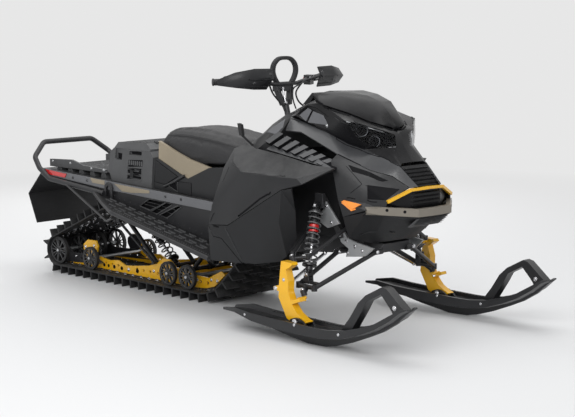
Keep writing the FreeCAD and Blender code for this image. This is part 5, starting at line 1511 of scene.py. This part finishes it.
def fill_strap(stock):
    """The padded webbing loop that stands over the bars, with a thread along each edge."""
    foot, tall, half, thick, wide = 1.232, 0.145, 0.098, 0.020, 0.030
    shares = ((0.60, 0.02), (0.84, 0.24), (0.97, 0.50), (0.86, 0.77), (0.48, 0.965), (0.0, 1.0))
    rim = [at(-0.672, -w * (half - thick / 2), foot + rise * (tall - thick / 2)) for w, rise in shares]
    line = rounded(rim + [Vector((p.x, -p.y, p.z)) for p in rim[-2::-1]])
    section = ((1, 0.5), (0.7, 0.92), (-0.7, 0.92), (-1, 0.5), (-1, -0.5), (-0.7, -0.92), (0.7, -0.92),
               (1, -0.5))
    rings = []
    for i, p in enumerate(line):
        way = (line[min(i + 1, len(line) - 1)] - line[max(i - 1, 0)]).normalized()
        out = way.cross(AHEAD).normalized()
        rings.append([p + out * (thick / 2 * a) + AHEAD * (wide / 2 * b) for a, b in section])
    stock.rings(rings)
    for b in (-0.36, 0.36):
        thread = []
        for p in line[3:-3]:
            out = (p - Vector((p.x, 0, foot + tall * 0.5))).normalized()
            thread.append(p + out * (thick / 2) + AHEAD * (wide * b) - UP * 0.0012)
        stock.pipe(thread, 0.0011, 6, 1)


def fill_grip(stock):
    """Ribs and end of the right grip, and its switch box."""
    inner = at(-0.672, 0.170, 1.246)
    outer = at(-0.801, 0.400, 1.246)
    way = (outer - inner).normalized()
    rib = [(-0.0028, 0.0170), (-0.0016, 0.0182), (0.0016, 0.0182), (0.0028, 0.0170)]
    end = [(-0.004, 0.0172), (-0.004, 0.0200), (0.002, 0.0200), (0.0035, 0.0170), (0.0035, 0.006)]
    button = [(-0.001, 0.0062), (0.003, 0.0060), (0.0042, 0.0045), (0.0044, 0.001)]
    for k in range(13):
        stock.lathe(outer - way * (0.012 + 0.0092 * k), way, rib, 28)
    stock.lathe(outer, way, end, 28)
    box = inner + way * 0.045
    stock.slab(box + Vector((-0.0265, 0, 0.004)), way * 0.028, UP * 0.016, AHEAD * 0.003, 1)
    for step, mark in ((-0.014, 3), (0.006, 1), (0.020, 1)):
        stock.lathe(box + way * step + Vector((-0.0290, 0, 0.004)), -AHEAD, button, 20, mark)
    for step in (0.014, 0.078):
        stock.bolt(inner + way * step + Vector((0.0245, 0, 0.010)), AHEAD, 0.0042, 2)


def fill_post(post):
    """Clamp bolts of the bars and the rod beside the post."""
    for w in (-43, 43):
        for x in (-693, -671):
            post.bolt(mm(x, w, 1225), UP, 0.0058)
    ends = line_of((-658.5, 26, 1205), (-639.5, 21, 1128))
    post.pipe(ends, 0.0048, 12)
    for end in ends:
        post.lathe(end, AHEAD, [(-0.006, 0.0078), (0.005, 0.0078), (0.006, 0.006)], 18)


def fill_hoses(hoses):
    """Hoses that run down from the controls beside the post."""
    for radius, points in (
            (0.0048, ((-650, 150, 1243), (-655, 128, 1226), (-658, 100, 1182), (-655, 62, 1142),
                      (-646, 38, 1112), (-636, 30, 1084))),
            (0.0048, ((-650, -128, 1240), (-655, -100, 1214), (-658, -77, 1184), (-656, -76, 1158),
                      (-650, -90, 1128), (-640, -118, 1102))),
            (0.0040, ((-642, -140, 1246), (-650, -112, 1228), (-656, -60, 1206), (-654, -46, 1176),
                      (-646, -44, 1134), (-634, -52, 1092)))):
        hoses.pipe(rounded(line_of(*points)), radius, 10)


def fill_guard(guard):
    """Ribs and bolts of the right handguard."""
    for points in (((-588, 178, 1306), (-600, 290, 1308), (-642, 388, 1292), (-725, 428, 1258)),
                   ((-572, 178, 1262), (-578, 290, 1262), (-616, 396, 1256), (-716, 436, 1243)),
                   ((-600, 190, 1222), (-596, 290, 1224), (-634, 390, 1232), (-722, 434, 1236))):
        ribbon(guard, laid(["handguards"], line_of(*points)), 0.007, 0.0016)
    for point in line_of((-566, 196, 1292), (-582, 300, 1240)):
        guard.bolt(*snap(["handguards"], point), 0.006, 1)


def fill_pull(cap):
    """The cap on the starter's grip."""
    cap.lathe(mm(-727, 272, 1020), UP, [(0.0, 0.006), (0.004, 0.0075), (0.006, 0.005)], 16)


class SLED_OT_bars(bpy.types.Operator):
    """The strap, grip ends, switches, clamp bolts, hoses, the guards' ribs and the starter's cap"""

    bl_idname = "sled.bars"
    bl_label = "Bar fittings"

    def execute(self, context):
        strap = make(fill_strap, "strap_loop", ["strap webbing", "dark thread"], "strap_fabric", "steering",
                     False, angle=50)
        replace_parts(strap, "grab_strap")
        make(fill_grip, "bar_fittings", ["grip rubber", "control plastic", "bright steel", "dull red"],
             "grip_rubber", "steering")
        make(fill_post, "post_fittings", ["bright steel"], "chrome_steel", "steering", False)
        make(fill_hoses, "bar_hoses", ["bush rubber"], "grip_rubber", "steering", False)
        make(fill_guard, "guard_ribs", ["satin panel", "powder coat"], "body_black", "steering")
        make(fill_pull, "pull_cap", ["grip rubber"], "grip_rubber", mirrored=False)
        return {"FINISHED"}


def area_light(name, place, aim, size, power):
    data = bpy.data.lights.new(name, "AREA")
    data.shape = "RECTANGLE"
    data.size, data.size_y = size
    data.energy = power
    lamp = linked(name, data)
    stand(lamp, place, Vector(aim) - Vector(place))
    return lamp


def stand(thing, place, way):
    """Put a lamp or camera at a place, looking one way."""
    thing.location = place
    thing.rotation_mode = "QUATERNION"
    thing.rotation_quaternion = way.to_track_quat("-Z", "Y")


def seen(tree):
    """One where the camera sees a surface, straight or by a reflection or through glass."""
    path = put(tree, "ShaderNodeLightPath").outputs
    return maths(tree, "MAXIMUM", path["Is Camera Ray"], path["Is Glossy Ray"], path["Is Transmission Ray"])


def floor_paint(settings):
    """Pale paint that fades into the backdrop far out."""
    made, tree, face = blank("floor paint")
    place = object_place(tree)
    tint = blend(tree, noise(tree, place, 0.7, 4.0), shade(settings.floor, 0.985), shade(settings.floor, 1.0))
    shader = put(tree, "ShaderNodeBsdfPrincipled", {"Base Color": tint, "Roughness": 0.6})
    away = put(tree, "ShaderNodeVectorMath", {0: place}, operation="LENGTH").outputs["Value"]
    pale = put(tree, "ShaderNodeEmission", {"Color": shade((settings.backdrop,) * 3, 1.0), "Strength": 1.0})
    fade = maths(tree, "MULTIPLY", spread(tree, away, 1.6, 7.0), seen(tree))
    mixed = put(tree, "ShaderNodeMixShader", {0: fade, 1: shader.outputs[0], 2: pale.outputs[0]})
    tree.links.new(mixed.outputs[0], face)
    return made


def room(settings):
    """Soft light from all round, with a plain backdrop where it is seen."""
    world = bpy.data.worlds.new("room")
    world.use_nodes = True
    tree = world.node_tree
    tree.nodes.clear()
    soft = put(tree, "ShaderNodeBackground", {"Color": (0.92, 0.94, 0.97, 1), "Strength": settings.sky})
    pale = put(tree, "ShaderNodeBackground", {"Color": shade((settings.backdrop,) * 3, 1.0), "Strength": 1.0})
    mixed = put(tree, "ShaderNodeMixShader", {0: seen(tree), 1: soft.outputs[0], 2: pale.outputs[0]})
    put(tree, "ShaderNodeOutputWorld", {"Surface": mixed.outputs[0]})
    return world


class SLED_OT_stage(bpy.types.Operator):
    """Set up the floor, the soft lights and the camera"""

    bl_idname = "sled.stage"
    bl_label = "Stage"

    def execute(self, context):
        scene = context.scene
        settings = scene.sled_stage
        scene.view_settings.view_transform = "Standard"
        reach = 60.0
        mesh = bpy.data.meshes.new("floor")
        mesh.from_pydata([(-reach, -reach, 0), (reach, -reach, 0), (reach, reach, 0), (-reach, reach, 0)], [],
                         [(0, 1, 2, 3)])
        mesh.materials.append(floor_paint(settings))
        linked("floor", mesh)
        area_light("key", (3.6, -4.6, 3.6), (0.2, 0, 0.6), (4.6, 3.2), settings.key)
        area_light("top", (-0.4, 0.4, 4.4), (0, 0, 0.5), (5.5, 4.0), settings.top)
        back = area_light("back", (-4.2, 3.4, 2.6), (0, 0, 0.7), (3.6, 2.2), settings.back)
        back.visible_glossy = False
        scene.world = room(settings)
        data = bpy.data.cameras.new("camera")
        data.lens = settings.lens
        data.sensor_width = 36
        data.clip_end = 200
        scene.camera = linked("camera", data)
        stand(scene.camera, settings.spot, Vector(settings.aim))
        return {"FINISHED"}


class SLED_PT_panel(bpy.types.Panel):
    """Lists the settings and the makers"""

    bl_idname = "SLED_PT_panel"
    bl_label = "Sled"
    bl_space_type = "VIEW_3D"
    bl_region_type = "UI"
    bl_category = "Sled"

    def draw(self, context):
        for group in (context.scene.sled_colours, context.scene.sled_sizes, context.scene.sled_stage):
            box = self.layout.box()
            for name in group.__annotations__:
                box.prop(group, name)
        for maker in MAKERS:
            self.layout.operator(maker.bl_idname)


SETTINGS = {"sled_colours": SLED_PG_colours, "sled_sizes": SLED_PG_sizes, "sled_stage": SLED_PG_stage}
MAKERS = (SLED_OT_stage, SLED_OT_finishes, SLED_OT_curves, SLED_OT_paint, SLED_OT_seat, SLED_OT_springs,
          SLED_OT_track, SLED_OT_skid, SLED_OT_seams, SLED_OT_lamps, SLED_OT_tunnel, SLED_OT_deck,
          SLED_OT_skis, SLED_OT_bars)


def register():
    for group in SETTINGS.values():
        bpy.utils.register_class(group)
    for name, group in SETTINGS.items():
        setattr(bpy.types.Scene, name, PointerProperty(type=group))
    for maker in MAKERS:
        bpy.utils.register_class(maker)
    bpy.utils.register_class(SLED_PT_panel)


def unregister():
    bpy.utils.unregister_class(SLED_PT_panel)
    for maker in reversed(MAKERS):
        bpy.utils.unregister_class(maker)
    for name, group in SETTINGS.items():
        delattr(bpy.types.Scene, name)
        bpy.utils.unregister_class(group)


def main():
    register()
    for maker in MAKERS:
        group, name = maker.bl_idname.split(".")
        getattr(getattr(bpy.ops, group), name)()


if __name__ == "__main__":
    main()
